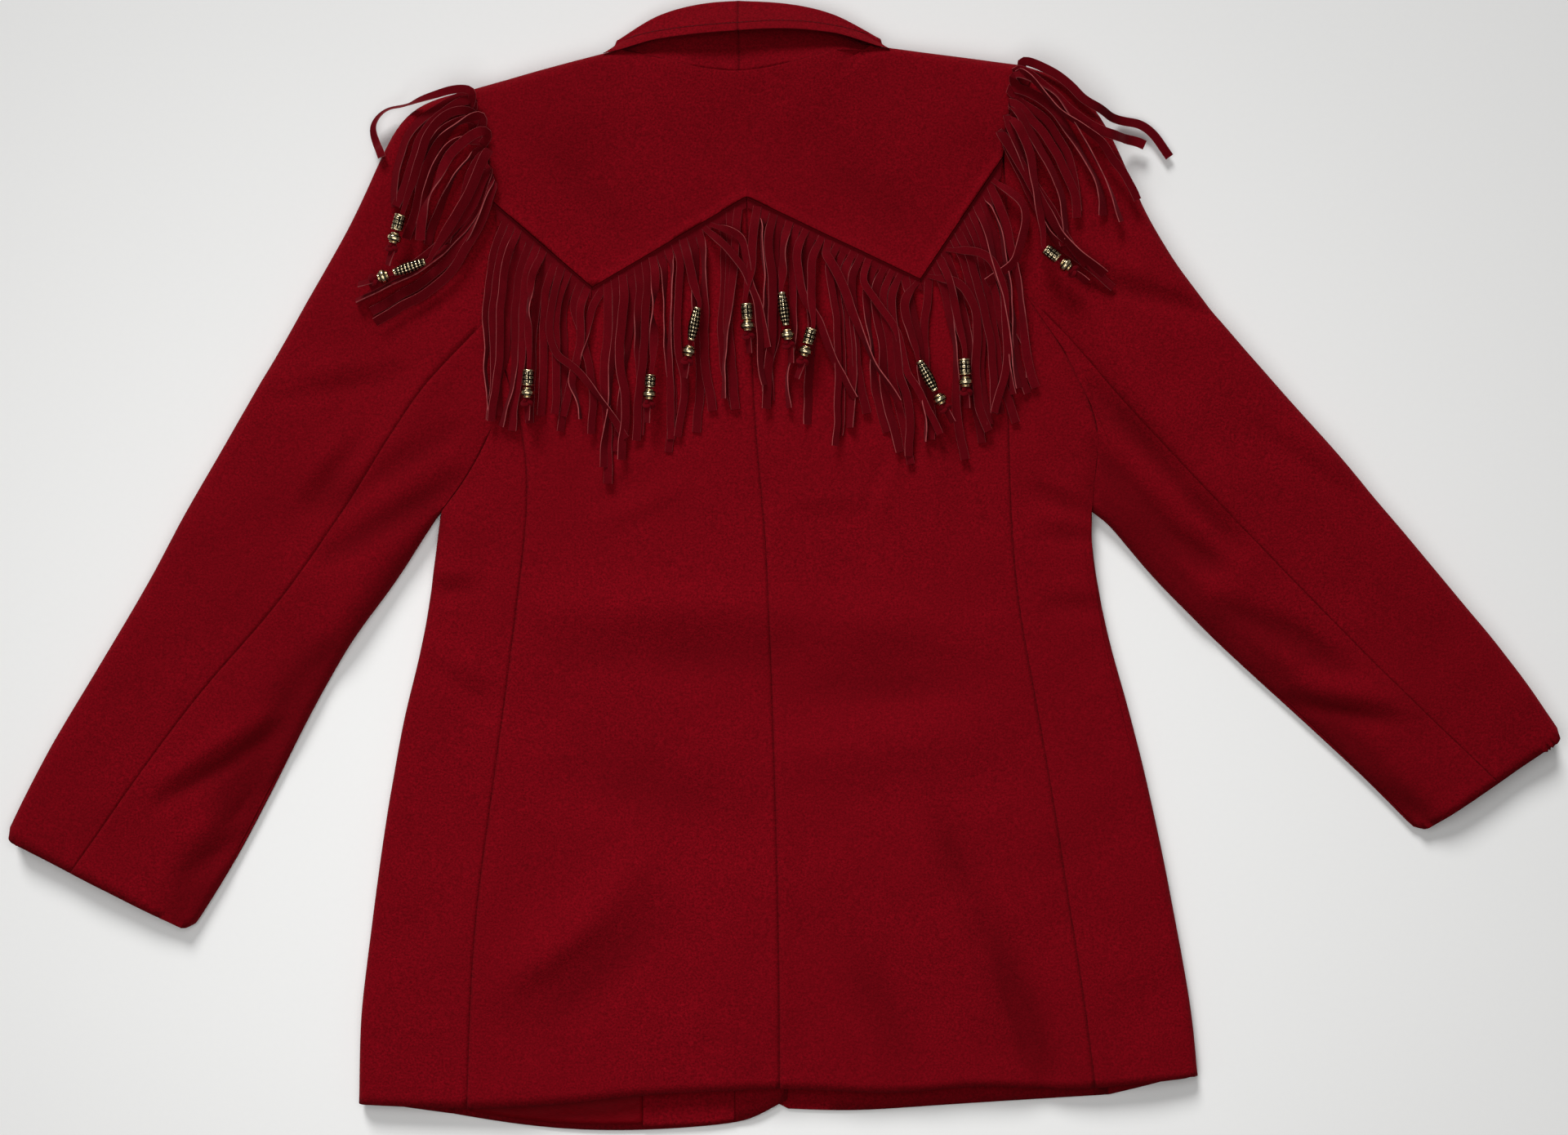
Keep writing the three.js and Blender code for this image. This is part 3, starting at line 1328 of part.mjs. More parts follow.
function lapel(side) {
  const levels = LAPEL_LEVELS.filter((level) => level > side.lapelTip.y + LAPEL_TIP_HEIGHT);
  const neck = vector(NECKLINE[side.neckIndex]);
  const columns = [0, 0.5, 1];
  const shell = CLOTH + PLY_GAP;
  const gridAt = (depth) => {
    const rolled = SHOULDER_DEGREES.map((above) =>
      columns.map((share) => {
        const degrees = above - 90;
        const edge = neck.clone().lerp(vector(side.lapelShoulder), share);
        const { base, radius } = shoulderRoll(side, edge);
        edge.addScaledVector(DOWN, -shell);
        return rollPoint(edge, DOWN, radius + shell, base - shell, degrees, depth);
      }),
    );
    const flat = levels.map((level) => {
      const inner = atLevel(side.frontEdge, 'x', level);
      const outer = atLevel(side.riseLine, 'x', level) - side.sign * LAPEL_INSET;
      return columns.map((share) => new THREE.Vector3(mix(inner, outer, share), level, depth));
    });
    const tip = columns.map((share) => new THREE.Vector3(
      side.lapelTip.x + side.sign * LAPEL_TIP_WIDTH * share,
      side.lapelTip.y + LAPEL_TIP_SLANT * share,
      depth,
    ));
    return [...rolled, ...flat, tip];
  };
  return sheetGeometry(gridAt(0), gridAt(CLOTH), {});
}

// Pieces on the inside of the left front where its hem shows below the back's.
const INSIDE_PIECES = [
  { name: 'lining_left', from: -228, to: -103, aboveHem: 4.5, top: -330, thickness: LINING },
  { name: 'facing_left', from: -102.4, to: -36, aboveHem: 2.2, top: -330, thickness: FACING },
];
const INSIDE_COLUMNS = 6;

function insidePiece({ from, to, aboveHem, top, thickness }) {
  const rows = [0, 1 / 3, 2 / 3, 1];
  const columns = range(INSIDE_COLUMNS + 1);
  const point = (share, column, depth) => {
    const x = mix(from, to, column / INSIDE_COLUMNS);
    const y = mix(top, atAcross(LEFT.frontHem, x) + aboveHem, share);
    const floor = frontLift(LEFT, x, y) + CLOTH + PLY_GAP;
    return new THREE.Vector3(x, y, floor + depth);
  };
  return sheetOf(rows, columns, point, {}, thickness);
}

// ---------------------------------------------------------------- fringe

/** Height that clears the cloth at a point and just round it. */
function clearHeight(x, y) {
  const probes = [[0, 0], [1, 0], [-1, 0], [0, 1], [0, -1]];
  return Math.max(...probes.map(([dx, dy]) => topHeight(x + dx * CLEAR_PROBE, y + dy * CLEAR_PROBE)));
}

const layerHeight = (x, y, layer) => clearHeight(x, y) + HEADER_LIFT + SUEDE / 2 + layer * STRIP_RISE;

/** Solid swept through rings of four corners each. */
function sweep(rings) {
  const positions = rings.flatMap(({ centre, side, width, thickness }) =>
    [[-1, -1], [1, -1], [1, 1], [-1, 1]].flatMap(([across, up]) => {
      const corner = centre.clone().addScaledVector(side, (across * width) / 2);
      corner.z += (up * thickness) / 2;
      return corner.toArray();
    }),
  );
  const last = (rings.length - 1) * 4;
  const triangles = [[0, 2, 1], [0, 3, 2], [last, last + 1, last + 2], [last, last + 2, last + 3]];
  for (let ring = 0; ring < last; ring += 4) {
    for (let corner = 0; corner < 4; corner += 1) {
      const next = (corner + 1) % 4;
      triangles.push([ring + corner, ring + next, ring + 4 + next]);
      triangles.push([ring + corner, ring + 4 + next, ring + 4 + corner]);
    }
  }
  return geometryOf(positions, triangles);
}

/** Rings along a path of points that each have a width and a thickness. */
function ringsAlong(points) {
  return points.map((point, index) => {
    const before = points[Math.max(index - 1, 0)].centre;
    const after = points[Math.min(index + 1, points.length - 1)].centre;
    const side = new THREE.Vector3(before.y - after.y, after.x - before.x, 0).normalize();
    return { ...point, side };
  });
}

/** Line moved to its right by a distance, with its corners mitred. */
function offsetLine(points, distance) {
  const last = points.length - 1;
  const normal = (index) => {
    const run = vector(points[index + 1]).sub(vector(points[index])).normalize();
    return new THREE.Vector2(run.y, -run.x);
  };
  return points.map((point, index) => {
    const before = normal(Math.max(index - 1, 0));
    const after = normal(Math.min(index, last - 1));
    const mitre = before.clone().add(after).normalize();
    return vector(point).addScaledVector(mitre, distance / mitre.dot(after));
  });
}

/** The two long edges of a fringe's band. */
function bandEdges(fringe) {
  const far = HEADER_GAP + HEADER_WIDTH;
  return [HEADER_GAP, far].map((distance) => {
    const line = offsetLine(fringe.seam, fringe.away * distance).slice(fringe.from, fringe.to + 1);
    const last = line.length - 1;
    const slant = distance / far;
    const startRun = line[1].clone().sub(line[0]).normalize();
    const endRun = line[last].clone().sub(line[last - 1]).normalize();
    line[0].addScaledVector(startRun, BAND_END_GAP + fringe.trimStart * slant);
    line[last].addScaledVector(endRun, -BAND_END_GAP - fringe.trimEnd * slant);
    return line;
  });
}

/** Point on the band: along it, and across it from the seam. */
function bandPoint(edges, along, across) {
  return pointAlong(edges[0], along).lerp(pointAlong(edges[1], along), across);
}

function bandSolid(edges) {
  const cells = Math.ceil(lengthOf(edges[1]) / HEADER_CELL);
  return sweep(range(cells + 1).map((cell) => {
    const share = cell / cells;
    const near = bandPoint(edges, share, 0);
    const far = bandPoint(edges, share, 1);
    const middle = near.clone().lerp(far, 0.5);
    const across = far.sub(near);
    return {
      centre: new THREE.Vector3(middle.x, middle.y, layerHeight(middle.x, middle.y, 0)),
      side: new THREE.Vector3(across.x, across.y, 0).normalize(),
      width: across.length(),
      thickness: SUEDE,
    };
  }));
}

/** Plan points that a fringe's guides give at a share of its band. */
function guidedPath(fringe, share) {
  const rows = fringe.guides.map((guide) => ({ ...guide, y: guide.at }));
  const at = (column) => atLevel(rows, column, share);
  return [
    new THREE.Vector2(at('upperX'), at('upperY')),
    new THREE.Vector2(at('lowerX'), at('lowerY')),
    new THREE.Vector2(at('tipX'), at('tipY')),
  ];
}

/** Where the beads of a strip lie, and how high. */
function beadPlaces(strip) {
  const bead = new THREE.Vector2(strip.beadX, strip.beadY);
  const ball = new THREE.Vector2(strip.ballX, strip.ballY);
  const stack = HEADER_LIFT + (STRIP_LAYERS - 1) * STRIP_RISE + SUEDE;
  const height = clearHeight(bead.x, bead.y) + stack + BEAD_CLEARANCE + BEAD_RADIUS;
  return { bead, ball, height, direction: ball.clone().sub(bead).normalize() };
}

/** Path of a strip that narrows into a bead, passes the ball and ends in a knot and a tail. */
function beadedPoints(strip) {
  const { bead, ball, height, direction } = beadPlaces(strip);
  const beadHalf = Math.max(...BEAD_PROFILES[strip.kind].map(({ along }) => along));
  const ballHalf = Math.max(...BEAD_PROFILES.ball.map(({ along }) => along));
  const at = (from, distance, width, thickness, drop) => {
    const point = from.clone().addScaledVector(direction, distance);
    return { centre: new THREE.Vector3(point.x, point.y, height - drop), width, thickness };
  };
  const knot = ballHalf + 1 + KNOT_HALF;
  return [
    at(bead, -beadHalf - 1, CORD_WIDTH, STRIP_THICKNESS, 0),
    at(ball, ballHalf + 0.5, CORD_WIDTH, STRIP_THICKNESS, 0),
    at(ball, knot - KNOT_HALF / 2, KNOT_WIDTH, KNOT_HEIGHT, 0),
    at(ball, knot + KNOT_HALF / 2, KNOT_WIDTH, KNOT_HEIGHT, 0),
    at(ball, knot + KNOT_HALF, CORD_WIDTH, STRIP_THICKNESS, 0),
    at(ball, knot + KNOT_HALF + TAIL_LENGTH, KNOT_WIDTH, STRIP_THICKNESS, 1),
  ];
}

/** Path of the strip in one slot of a fringe, from inside its band to its tip. */
function stripPoints(fringe, slot, count, edges) {
  const share = mix(BAND_MARGIN, 1 - BAND_MARGIN, (slot + 0.5) / count);
  const inSlot = (strip) => strip.fringe === fringe.name && strip.slot === slot;
  const loose = LOOSE_STRIPS.find(inSlot);
  const beaded = BEADED_STRIPS.find(inSlot);
  const regular = beaded ? STRIP_LAYERS + 1 : (slot + fringe.firstLayer) % STRIP_LAYERS;
  const layer = loose ? loose.layer : regular;
  const guided = guidedPath(fringe, share);
  const plan = loose ? loose.path.map(vector) : guided;
  const lip = bandPoint(edges, share, 1);
  const toward = plan[0].clone().sub(lip).normalize();
  const square = lip.clone().sub(bandPoint(edges, share, 0)).normalize();
  const lean = Math.max(toward.dot(square), LEAST_LEAN);
  const root = lip.clone().addScaledVector(toward, -STRIP_ROOT);
  const start = lip.clone().addScaledVector(toward, STRIP_START);
  const at = (point, level, width) => ({
    centre: new THREE.Vector3(point.x, point.y, layerHeight(point.x, point.y, level)),
    width,
    thickness: STRIP_THICKNESS,
  });
  const middle = bandPoint(edges, share, 0.5);
  const rootPoint = at(root, 0, fringe.width * lean);
  rootPoint.centre.z = layerHeight(middle.x, middle.y, 0);
  const run = beaded ? plan.slice(0, 1) : plan;
  const points = [
    rootPoint,
    at(start, layer, fringe.width * lean),
    ...run.map((point) => at(point, layer, fringe.width)),
  ];
  return beaded ? [...points, ...beadedPoints(beaded)] : points;
}

function solidOf(geometry) {
  const bare = geometry.clone();
  bare.deleteAttribute('normal');
  bare.deleteAttribute('uv');
  const merged = mergeVertices(bare);
  return new wasm.Manifold(new wasm.Mesh({
    numProp: 3,
    vertProperties: merged.attributes.position.array,
    triVerts: new Uint32Array(merged.index.array),
  }));
}

function fringePiece(fringe) {
  const edges = bandEdges(fringe);
  const count = Math.floor(lengthOf(edges[0]) / fringe.pitch);
  const strips = range(count).map((slot) => sweep(ringsAlong(stripPoints(fringe, slot, count, edges))));
  const joined = strips.reduce((solid, strip) => solid.add(solidOf(strip)), solidOf(bandSolid(edges)));
  const mesh = joined.getMesh();
  const geometry = new THREE.BufferGeometry();
  geometry.setAttribute('position', new THREE.BufferAttribute(mesh.vertProperties, 3));
  geometry.setIndex(new THREE.BufferAttribute(mesh.triVerts, 1));
  geometry.computeVertexNormals();
  return geometry;
}

/** Bead turned round its bore, laid along a direction in plan. */
function beadPiece(profile, centre, height, direction) {
  const closed = [...profile, profile[0]].map(({ radius, along }) => new THREE.Vector2(radius, along));
  const axis = new THREE.Vector3(direction.x, direction.y, 0);
  const turn = new THREE.Quaternion().setFromUnitVectors(new THREE.Vector3(0, 1, 0), axis);
  const bead = new THREE.LatheGeometry(closed, BEAD_SIDES);
  return bead.applyQuaternion(turn).translate(centre.x, centre.y, height);
}

// ---------------------------------------------------------------- assembly

const clothMaterial = (colour) =>
  new THREE.MeshStandardMaterial({ color: colour, roughness: 0.95, metalness: 0 });

const metalMaterial = () =>
  new THREE.MeshStandardMaterial({ color: GOLD, roughness: 0.4, metalness: 1 });

const blazer = new THREE.Group();

function addPiece(name, geometry, material) {
  const mesh = new THREE.Mesh(geometry, material);
  mesh.name = name;
  blazer.add(mesh);
}

addPiece('back_yoke', backYoke(), clothMaterial(RED));
[LEFT, RIGHT].forEach((side) => {
  addPiece(`back_${side.name}`, backPanel(side), clothMaterial(RED));
  addPiece(`side_${side.name}`, sidePanel(side), clothMaterial(RED));
  addPiece(`front_${side.name}`, frontPanel(side), clothMaterial(RED));
  addPiece(`top_sleeve_${side.name}`, topSleeve(side), clothMaterial(RED));
  addPiece(`under_sleeve_${side.name}`, underSleeve(side), clothMaterial(RED));
  addPiece(`collar_${side.name}`, collarHalf(side), clothMaterial(RED));
  addPiece(`lapel_${side.name}`, lapel(side), clothMaterial(RED));
});
INSIDE_PIECES.forEach((piece) => addPiece(piece.name, insidePiece(piece), clothMaterial(DEEP_RED)));
FRINGES.forEach((fringe) => addPiece(`fringe_${fringe.name}`, fringePiece(fringe), clothMaterial(SUEDE_RED)));
BEADED_STRIPS.forEach((strip, index) => {
  const { bead, ball, height, direction } = beadPlaces(strip);
  const upper = beadPiece(BEAD_PROFILES[strip.kind], bead, height, direction);
  const lower = beadPiece(BEAD_PROFILES.ball, ball, height, direction);
  addPiece(`bead_${index + 1}`, upper, metalMaterial());
  addPiece(`ball_${index + 1}`, lower, metalMaterial());
});

export default blazer;
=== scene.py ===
import math

import bmesh
import bpy
import numpy as np
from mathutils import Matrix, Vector
from mathutils.bvhtree import BVHTree
from mathutils.kdtree import KDTree


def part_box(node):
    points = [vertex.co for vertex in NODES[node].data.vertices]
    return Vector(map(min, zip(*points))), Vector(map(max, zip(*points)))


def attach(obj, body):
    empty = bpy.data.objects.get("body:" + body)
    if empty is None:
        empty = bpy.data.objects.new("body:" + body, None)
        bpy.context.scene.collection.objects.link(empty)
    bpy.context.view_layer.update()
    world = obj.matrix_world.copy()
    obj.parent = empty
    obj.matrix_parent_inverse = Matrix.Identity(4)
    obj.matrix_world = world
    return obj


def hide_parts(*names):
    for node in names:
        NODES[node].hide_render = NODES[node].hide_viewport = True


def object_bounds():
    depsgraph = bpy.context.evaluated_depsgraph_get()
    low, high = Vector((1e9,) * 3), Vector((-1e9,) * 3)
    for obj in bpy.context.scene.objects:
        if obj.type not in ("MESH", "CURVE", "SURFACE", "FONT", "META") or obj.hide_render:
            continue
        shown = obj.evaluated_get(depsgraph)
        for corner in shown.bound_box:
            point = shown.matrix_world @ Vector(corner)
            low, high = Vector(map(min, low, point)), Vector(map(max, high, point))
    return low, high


bl_info = {
    "name": "Western blazer",
    "version": (1, 0, 0),
    "blender": (4, 5, 0),
    "location": "View3D > Sidebar > Blazer",
    "description": "Red wool western blazer with suede fringe and metal beads, laid flat with its back up",
    "category": "Object",
}

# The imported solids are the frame: every piece below is fitted to them.
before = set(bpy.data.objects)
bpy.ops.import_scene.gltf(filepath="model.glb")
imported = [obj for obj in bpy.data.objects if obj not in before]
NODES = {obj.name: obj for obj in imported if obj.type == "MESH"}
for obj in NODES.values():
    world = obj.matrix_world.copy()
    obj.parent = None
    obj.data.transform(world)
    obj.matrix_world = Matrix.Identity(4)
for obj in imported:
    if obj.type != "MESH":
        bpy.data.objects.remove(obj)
CAD_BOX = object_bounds()
MM = 0.001

# ---------------------------------------------------------------- tables, in millimetres


def table(columns, rows):
    """Rows of numbers as dictionaries with named columns."""
    names = columns.split()
    return [dict(zip(names, row)) for row in rows]


# Pieces of wool: how finely each is worked, and its cut: width, length and area as cut out flat.
CUTS = table("node width length area levels", [
    ("back_yoke", 402, 185, 0.0498, 3), ("back_left", 228, 660, 0.1215, 3), ("back_right", 254, 680, 0.1227, 3),
    ("side_left", 150, 555, 0.0645, 3), ("side_right", 155, 605, 0.0674, 3), ("front_left", 262, 790, 0.1454, 2),
    ("front_right", 270, 780, 0.1441, 2), ("lapel_left", 70, 345, 0.0146, 2), ("lapel_right", 62, 325, 0.0128, 2),
    ("top_sleeve_left", 260, 640, 0.1344, 3), ("top_sleeve_right", 260, 640, 0.1271, 3),
    ("under_sleeve_left", 150, 500, 0.0541, 3), ("under_sleeve_right", 140, 480, 0.0465, 3),
    ("collar_left", 70, 106, 0.0068, 3), ("collar_right", 72, 115, 0.0074, 3), ("facing_left", 67, 78, 0.0052, 3),
    ("lining_left", 126, 76, 0.0092, 3),
])

# Creases pressed into the upper side: from, to, half width and height (below 0 a trough).
CREASES = table("x0 y0 x1 y1 width height", [
    (8, 37, 61, 41, 5, -0.7), (8, 44, 60, 48, 8, 0.5), (61, 41, 73, 80, 4.5, -0.8), (66, 40, 80, 78, 6, 0.6),
    (182, 56, 220, 38, 5, -1.3), (186, 62, 222, 47, 7, 0.9), (188, 24, 226, 24, 5, -1.3),
    (186, 32, 226, 31, 7, 0.8), (194, -27, 228, -28, 5, -1.0), (190, -18, 226, -18, 8, 0.7),
    (-250, -15, -222, -15, 5, -1.2), (-254, -6, -224, -6, 7, 0.7), (-256, -68, -210, -97, 6, -1.2),
    (-262, -60, -214, -86, 9, 0.9), (-372, 121, -272, 139, 6, -1.0), (-372, 130, -280, 148, 9, 0.8),
    (-343, 44, -305, 92, 6, -1.3), (-350, 52, -314, 96, 9, 0.9), (-449, -168, -370, -119, 6, -1.8),
    (-452, -158, -374, -108, 8, 1.2), (-402, -184, -376, -166, 6, -1.4), (-440, -200, -398, -176, 8, 0.8),
    (228, 84, 283, 21, 8, -2.2), (283, 21, 316, -2, 7, -1.8), (238, 88, 292, 26, 10, 1.1),
    (318, -27, 356, -52, 6, -1.2), (316, -17, 356, -42, 9, 0.8), (371, -97, 438, -109, 6, -1.8),
    (370, -87, 440, -98, 8, 1.2), (434, -162, 468, -187, 6, -1.2), (198, 216, 306, 182, 6, -1.5),
    (202, 226, 300, 196, 9, 1.0), (342, 98, 403, 55, 7, -1.0), (346, 108, 408, 65, 10, 0.8),
    (112, -186, 141, -268, 7, -1.0), (141, -268, 188, -372, 8, -1.1), (124, -196, 156, -280, 12, 0.7),
    (-3, -140, -3, -392, 9, 0.8), (-130, -268, -192, -312, 8, -0.9), (-126, -256, -186, -300, 11, 0.7),
    (-150, 60, -122, 88, 7, -0.7), (96, 150, 128, 30, 12, -0.7), (-110, 30, -96, -60, 14, 0.6),
    (-132, 34, -78, 56, 6, 0.9), (-142, 66, -104, 82, 8, 0.8), (-236, 62, -330, 6, 8, -1.5),
    (230, 124, 298, 46, 8, -1.9), (298, 46, 330, 14, 7, -1.6), (326, -22, 404, -74, 8, -1.7),
    (-330, 40, -240, 98, 8, -1.3), (-431, -222, -384, -190, 6, -1.2),
])

# Broad soft folds of the laid cloth and edges that roll down: from, to, half width and height.
FOLDS = table("x0 y0 x1 y1 width height", [
    (-158, -28, -14, -31, 17, 1.9), (0, -34, 142, -48, 19, 1.7), (-156, -62, -10, -66, 18, -1.5),
    (10, -88, 138, -84, 20, -1.3), (14, -138, 138, -116, 20, 1.7), (-196, -306, -108, -220, 18, 2.4),
    (-180, -330, -92, -258, 20, -1.6), (94, -196, 158, -330, 17, 2.2), (124, -200, 190, -360, 15, -2.2),
    (-150, -150, -30, -176, 24, -1.2), (52, -280, 92, -362, 20, -1.4), (-40, -230, -28, -370, 26, 1.2),
    (-128, 376, 66, 380, 66, 3.0), (-186, 320, -92, 226, 22, -1.2), (20, 300, 104, 240, 24, -1.2),
    (-110, 300, -70, 236, 22, 1.2), (-252, 28, -336, -78, 12, -2.2), (-336, -78, -432, -258, 23, -4.4),
    (224, 52, 318, -55, 14, -3.2), (318, -55, 458, -192, 19, -4.4), (-300, 190, -516, -130, 26, 1.4),
    (262, 214, 522, -96, 28, 1.6), (-246, 150, -300, 60, 16, 1.4), (240, 150, 330, 20, 16, 1.5),
])

# Lines along which the sleeves are cut off at the wrist.
CUFFS = table("name x0 y0 x1 y1", [
    ("sleeve_left", -564, -195, -446.3, -255.6), ("sleeve_right", 564, -122, 461, -193),
])

# Lower edge of the back yoke: a W from armhole to armhole.
YOKE_EDGE = table("x y", [(-209, 263), (-138, 202), (-27, 267), (98, 208), (157, 295)])

# Stretches of the armhole seams that the shoulder fringes hang from.
SHOULDER_LEFT = table("x y", [(-228, 338), (-213, 304), (-209.5, 268)])
SHOULDER_RIGHT = table("x y", [(172, 359), (162, 328), (157.5, 300)])

# Fringes. They hang from a stretch of a seam, on one side of it, in strips cut at a pitch and to a width.
# Then come the layer of the first strip, how far the band's lower corners are cut back, how far strips curl
# over the seam, and the cut of band and strips together: width, length and area.
FRINGES = table("name seam from to away pitch width firstLayer trimStart trimEnd loop cutWidth cutLength area", [
    ("yoke_1", YOKE_EDGE, 0, 1, 1, 6.4, 6.048, 1, 10.5, 0, 0, 93, 165, 0.0125),
    ("yoke_2", YOKE_EDGE, 1, 2, 1, 6.4, 6.048, 0, 0, 0, 0, 128, 165, 0.0170),
    ("yoke_3", YOKE_EDGE, 2, 3, 1, 6.4, 6.048, 1, 0, 0, 0, 137, 165, 0.0180),
    ("yoke_4", YOKE_EDGE, 3, 4, 1, 6.4, 6.048, 0, 0, 11.8, 0, 104, 165, 0.0145),
    ("shoulder_left", SHOULDER_LEFT, 0, 2, 1, 4.8, 6.496, 0, 0, 0, 7, 98, 125, 0.0118),
    ("shoulder_right", SHOULDER_RIGHT, 0, 2, -1, 4.4, 6.496, 0, 0, 0, 8, 92, 125, 0.0110),
])


def guides(*rows):
    return table("at upperX upperY lowerX lowerY tipX tipY", rows)


# How the strips of each fringe fall: where the strip at a share of the band passes.
GUIDES = {
    "yoke_1": guides(
        (0.02, -212, 226, -217, 165, -212, 110), (0.29, -195, 212, -197, 160, -203, 100),
        (0.38, -188, 206, -190, 160, -196, 102), (0.48, -181, 203, -182, 165, -190, 93),
        (0.63, -170, 196, -169, 160, -178, 112), (0.75, -162, 190, -161, 150, -163, 98),
        (1, -149, 180, -152, 145, -150, 92),
    ),
    "yoke_2": guides(
        (0, -134, 178, -142, 130, -145, 82), (0.08, -129, 184, -131, 120, -135, 62),
        (0.16, -119, 190, -123, 150, -125, 75), (0.25, -109, 198, -112, 156, -117, 79),
        (0.35, -98, 206, -100, 165, -104, 101), (0.44, -87, 212, -86, 165, -88, 84),
        (0.54, -75, 219, -76, 165, -78, 93), (0.62, -67, 224, -68, 188, -68, 106),
        (0.72, -55, 230, -54, 180, -50, 108), (0.82, -45, 236, -46, 180, -44, 116),
        (0.92, -36, 241, -40, 190, -39, 119), (1, -32, 244, -37, 200, -35, 130),
    ),
    "yoke_3": guides(
        (0.02, -25, 244, -20, 190, -20, 130), (0.13, -13, 236, -11, 188, -12, 121),
        (0.24, 0, 230, -2, 165, -1, 127), (0.33, 11, 225, 16, 180, 16, 95),
        (0.43, 22, 221, 27, 188, 26, 110), (0.52, 34, 216, 38, 188, 34, 91),
        (0.6, 44, 212, 46, 175, 48, 104), (0.68, 54, 206, 58, 170, 68, 120),
        (0.78, 66, 200, 70, 160, 82, 78), (0.87, 78, 196, 82, 151, 92, 85),
        (1, 89, 188, 95, 138, 104, 80),
    ),
    "yoke_4": guides(
        (0, 108, 190, 112, 150, 113, 76), (0.1, 111, 196, 119, 151, 122, 80),
        (0.2, 117, 203, 127, 142, 131, 76), (0.32, 125, 210, 136, 160, 144, 96),
        (0.45, 133, 218, 145, 165, 153, 108), (0.58, 141, 226, 153, 168, 162, 112),
        (0.72, 149, 234, 161, 178, 171, 136), (0.86, 158, 243, 169, 190, 180, 128),
        (1, 166, 254, 176, 210, 188, 157),
    ),
    "shoulder_left": guides(
        (0, -262, 325, -285, 303, -289, 262), (0.12, -255, 322, -267, 300, -279, 256),
        (0.25, -249, 316, -262, 290, -272, 250), (0.38, -240, 312, -256, 285, -268, 240),
        (0.5, -234, 300, -250, 275, -264, 236), (0.62, -226, 280, -236, 252, -246, 227),
        (0.72, -224, 262, -250, 232, -297, 207), (0.85, -224, 244, -252, 216, -305, 183),
        (1, -220, 232, -240, 198, -284, 172),
    ),
    "shoulder_right": guides(
        (0, 204, 344, 226, 306, 244, 260), (0.25, 198, 338, 221, 302, 242, 258),
        (0.36, 190, 330, 213, 292, 226, 250), (0.47, 184, 318, 205, 284, 214, 246),
        (0.58, 178, 306, 195, 276, 202, 240), (0.7, 172, 292, 186, 262, 196, 232),
        (0.85, 176, 278, 192, 246, 229, 208), (1, 174, 266, 188, 236, 236, 200),
    ),
}

# Strips that leave the others, and the plan points that they pass.
LOOSE_STRIPS = table("fringe slot layer path", [
    ("yoke_1", 12, 2, [(-153, 188), (-144, 165), (-139, 130), (-142, 92)]),
    ("yoke_1", 13, 3, [(-147, 186), (-146, 160), (-151, 130), (-147, 96)]),
    ("yoke_2", 0, 1, [(-138, 188), (-143, 165), (-150, 138), (-157, 100)]),
    ("yoke_3", 19, 2, [(91, 190), (97, 165), (99, 135), (104, 92)]),
    ("yoke_4", 0, 1, [(103, 190), (101, 160), (106, 125), (109, 86)]),
    ("yoke_1", 9, 4, [(-167, 186), (-166, 157), (-150, 143), (-115, 91)]),
    ("yoke_2", 15, 4, [(-30, 237), (-26, 209), (-17, 180), (-13, 160)]),
    ("yoke_2", 14, 5, [(-44, 232), (-30, 215), (-19, 190), (-14, 160), (-15, 135)]),
    ("yoke_3", 6, 4, [(8, 227), (12, 201), (23, 180), (51, 125)]),
    ("yoke_3", 9, 5, [(30, 225), (39, 210), (48, 188), (64, 151), (77, 122)]),
    ("yoke_3", 14, 4, [(55, 206), (78, 175), (87, 145), (109, 96)]),
    ("yoke_4", 1, 4, [(126, 205), (137, 184), (137, 154), (141, 113), (151, 97)]),
    ("yoke_4", 5, 5, [(146, 224), (157, 204), (160, 165), (159, 138), (155, 110)]),
    ("yoke_4", 15, 4, [(170, 262), (171, 238), (166, 217), (158, 209)]),
    ("shoulder_left", 1, 4, [(-262, 334), (-289, 331), (-298, 316), (-290, 298)]),
    ("shoulder_right", 0, 1, [(200, 350), (224, 330), (259, 320), (277, 298)]),
    ("shoulder_right", 1, 4, [(196, 333), (224, 313), (247, 310), (270, 302)]),
    ("shoulder_right", 2, 5, [(195, 326), (224, 306), (253, 268), (256, 260)]),
])

# Strips that carry a bead and a ball.
BEADED = table("fringe slot kind", [
    ("yoke_1", 6, "cylinder"), ("yoke_2", 7, "short"), ("yoke_2", 11, "long"), ("yoke_3", 0, "cylinder"),
    ("yoke_3", 4, "long"), ("yoke_3", 8, "cylinder"), ("yoke_3", 20, "long"), ("yoke_4", 3, "cylinder"),
    ("shoulder_left", 3, "cylinder"), ("shoulder_left", 10, "long"), ("shoulder_right", 8, "cylinder"),
])

# Lower edge of the collar's fall, and how far inside it the row of stitches runs.
FALL_EDGE = table("x y", [
    (-127, 372), (-102, 378), (-77, 381), (-53, 383), (-33, 384.5), (-8, 386.5), (16, 386), (44, 382.5), (68, 377.5),
])
STITCH_INSET = 6 * MM
FALL_FROM = 13.5 * MM  # the fall lies over this height
FALL_FAR = 40 * MM  # stands for anywhere off the fall

# ---------------------------------------------------------------- settings


def colour_setting(name, description, default):
    return bpy.props.FloatVectorProperty(
        name=name, description=description, subtype="COLOR", size=3, min=0, max=1, default=default)


def length_setting(name, description, default, low, high):
    """Setting of a length, given in millimetres."""
    return bpy.props.FloatProperty(
        name=name, description=description, unit="LENGTH", default=default * MM, min=low * MM, max=high * MM)


def number_setting(name, description, default, low, high):
    return bpy.props.FloatProperty(name=name, description=description, default=default, min=low, max=high)


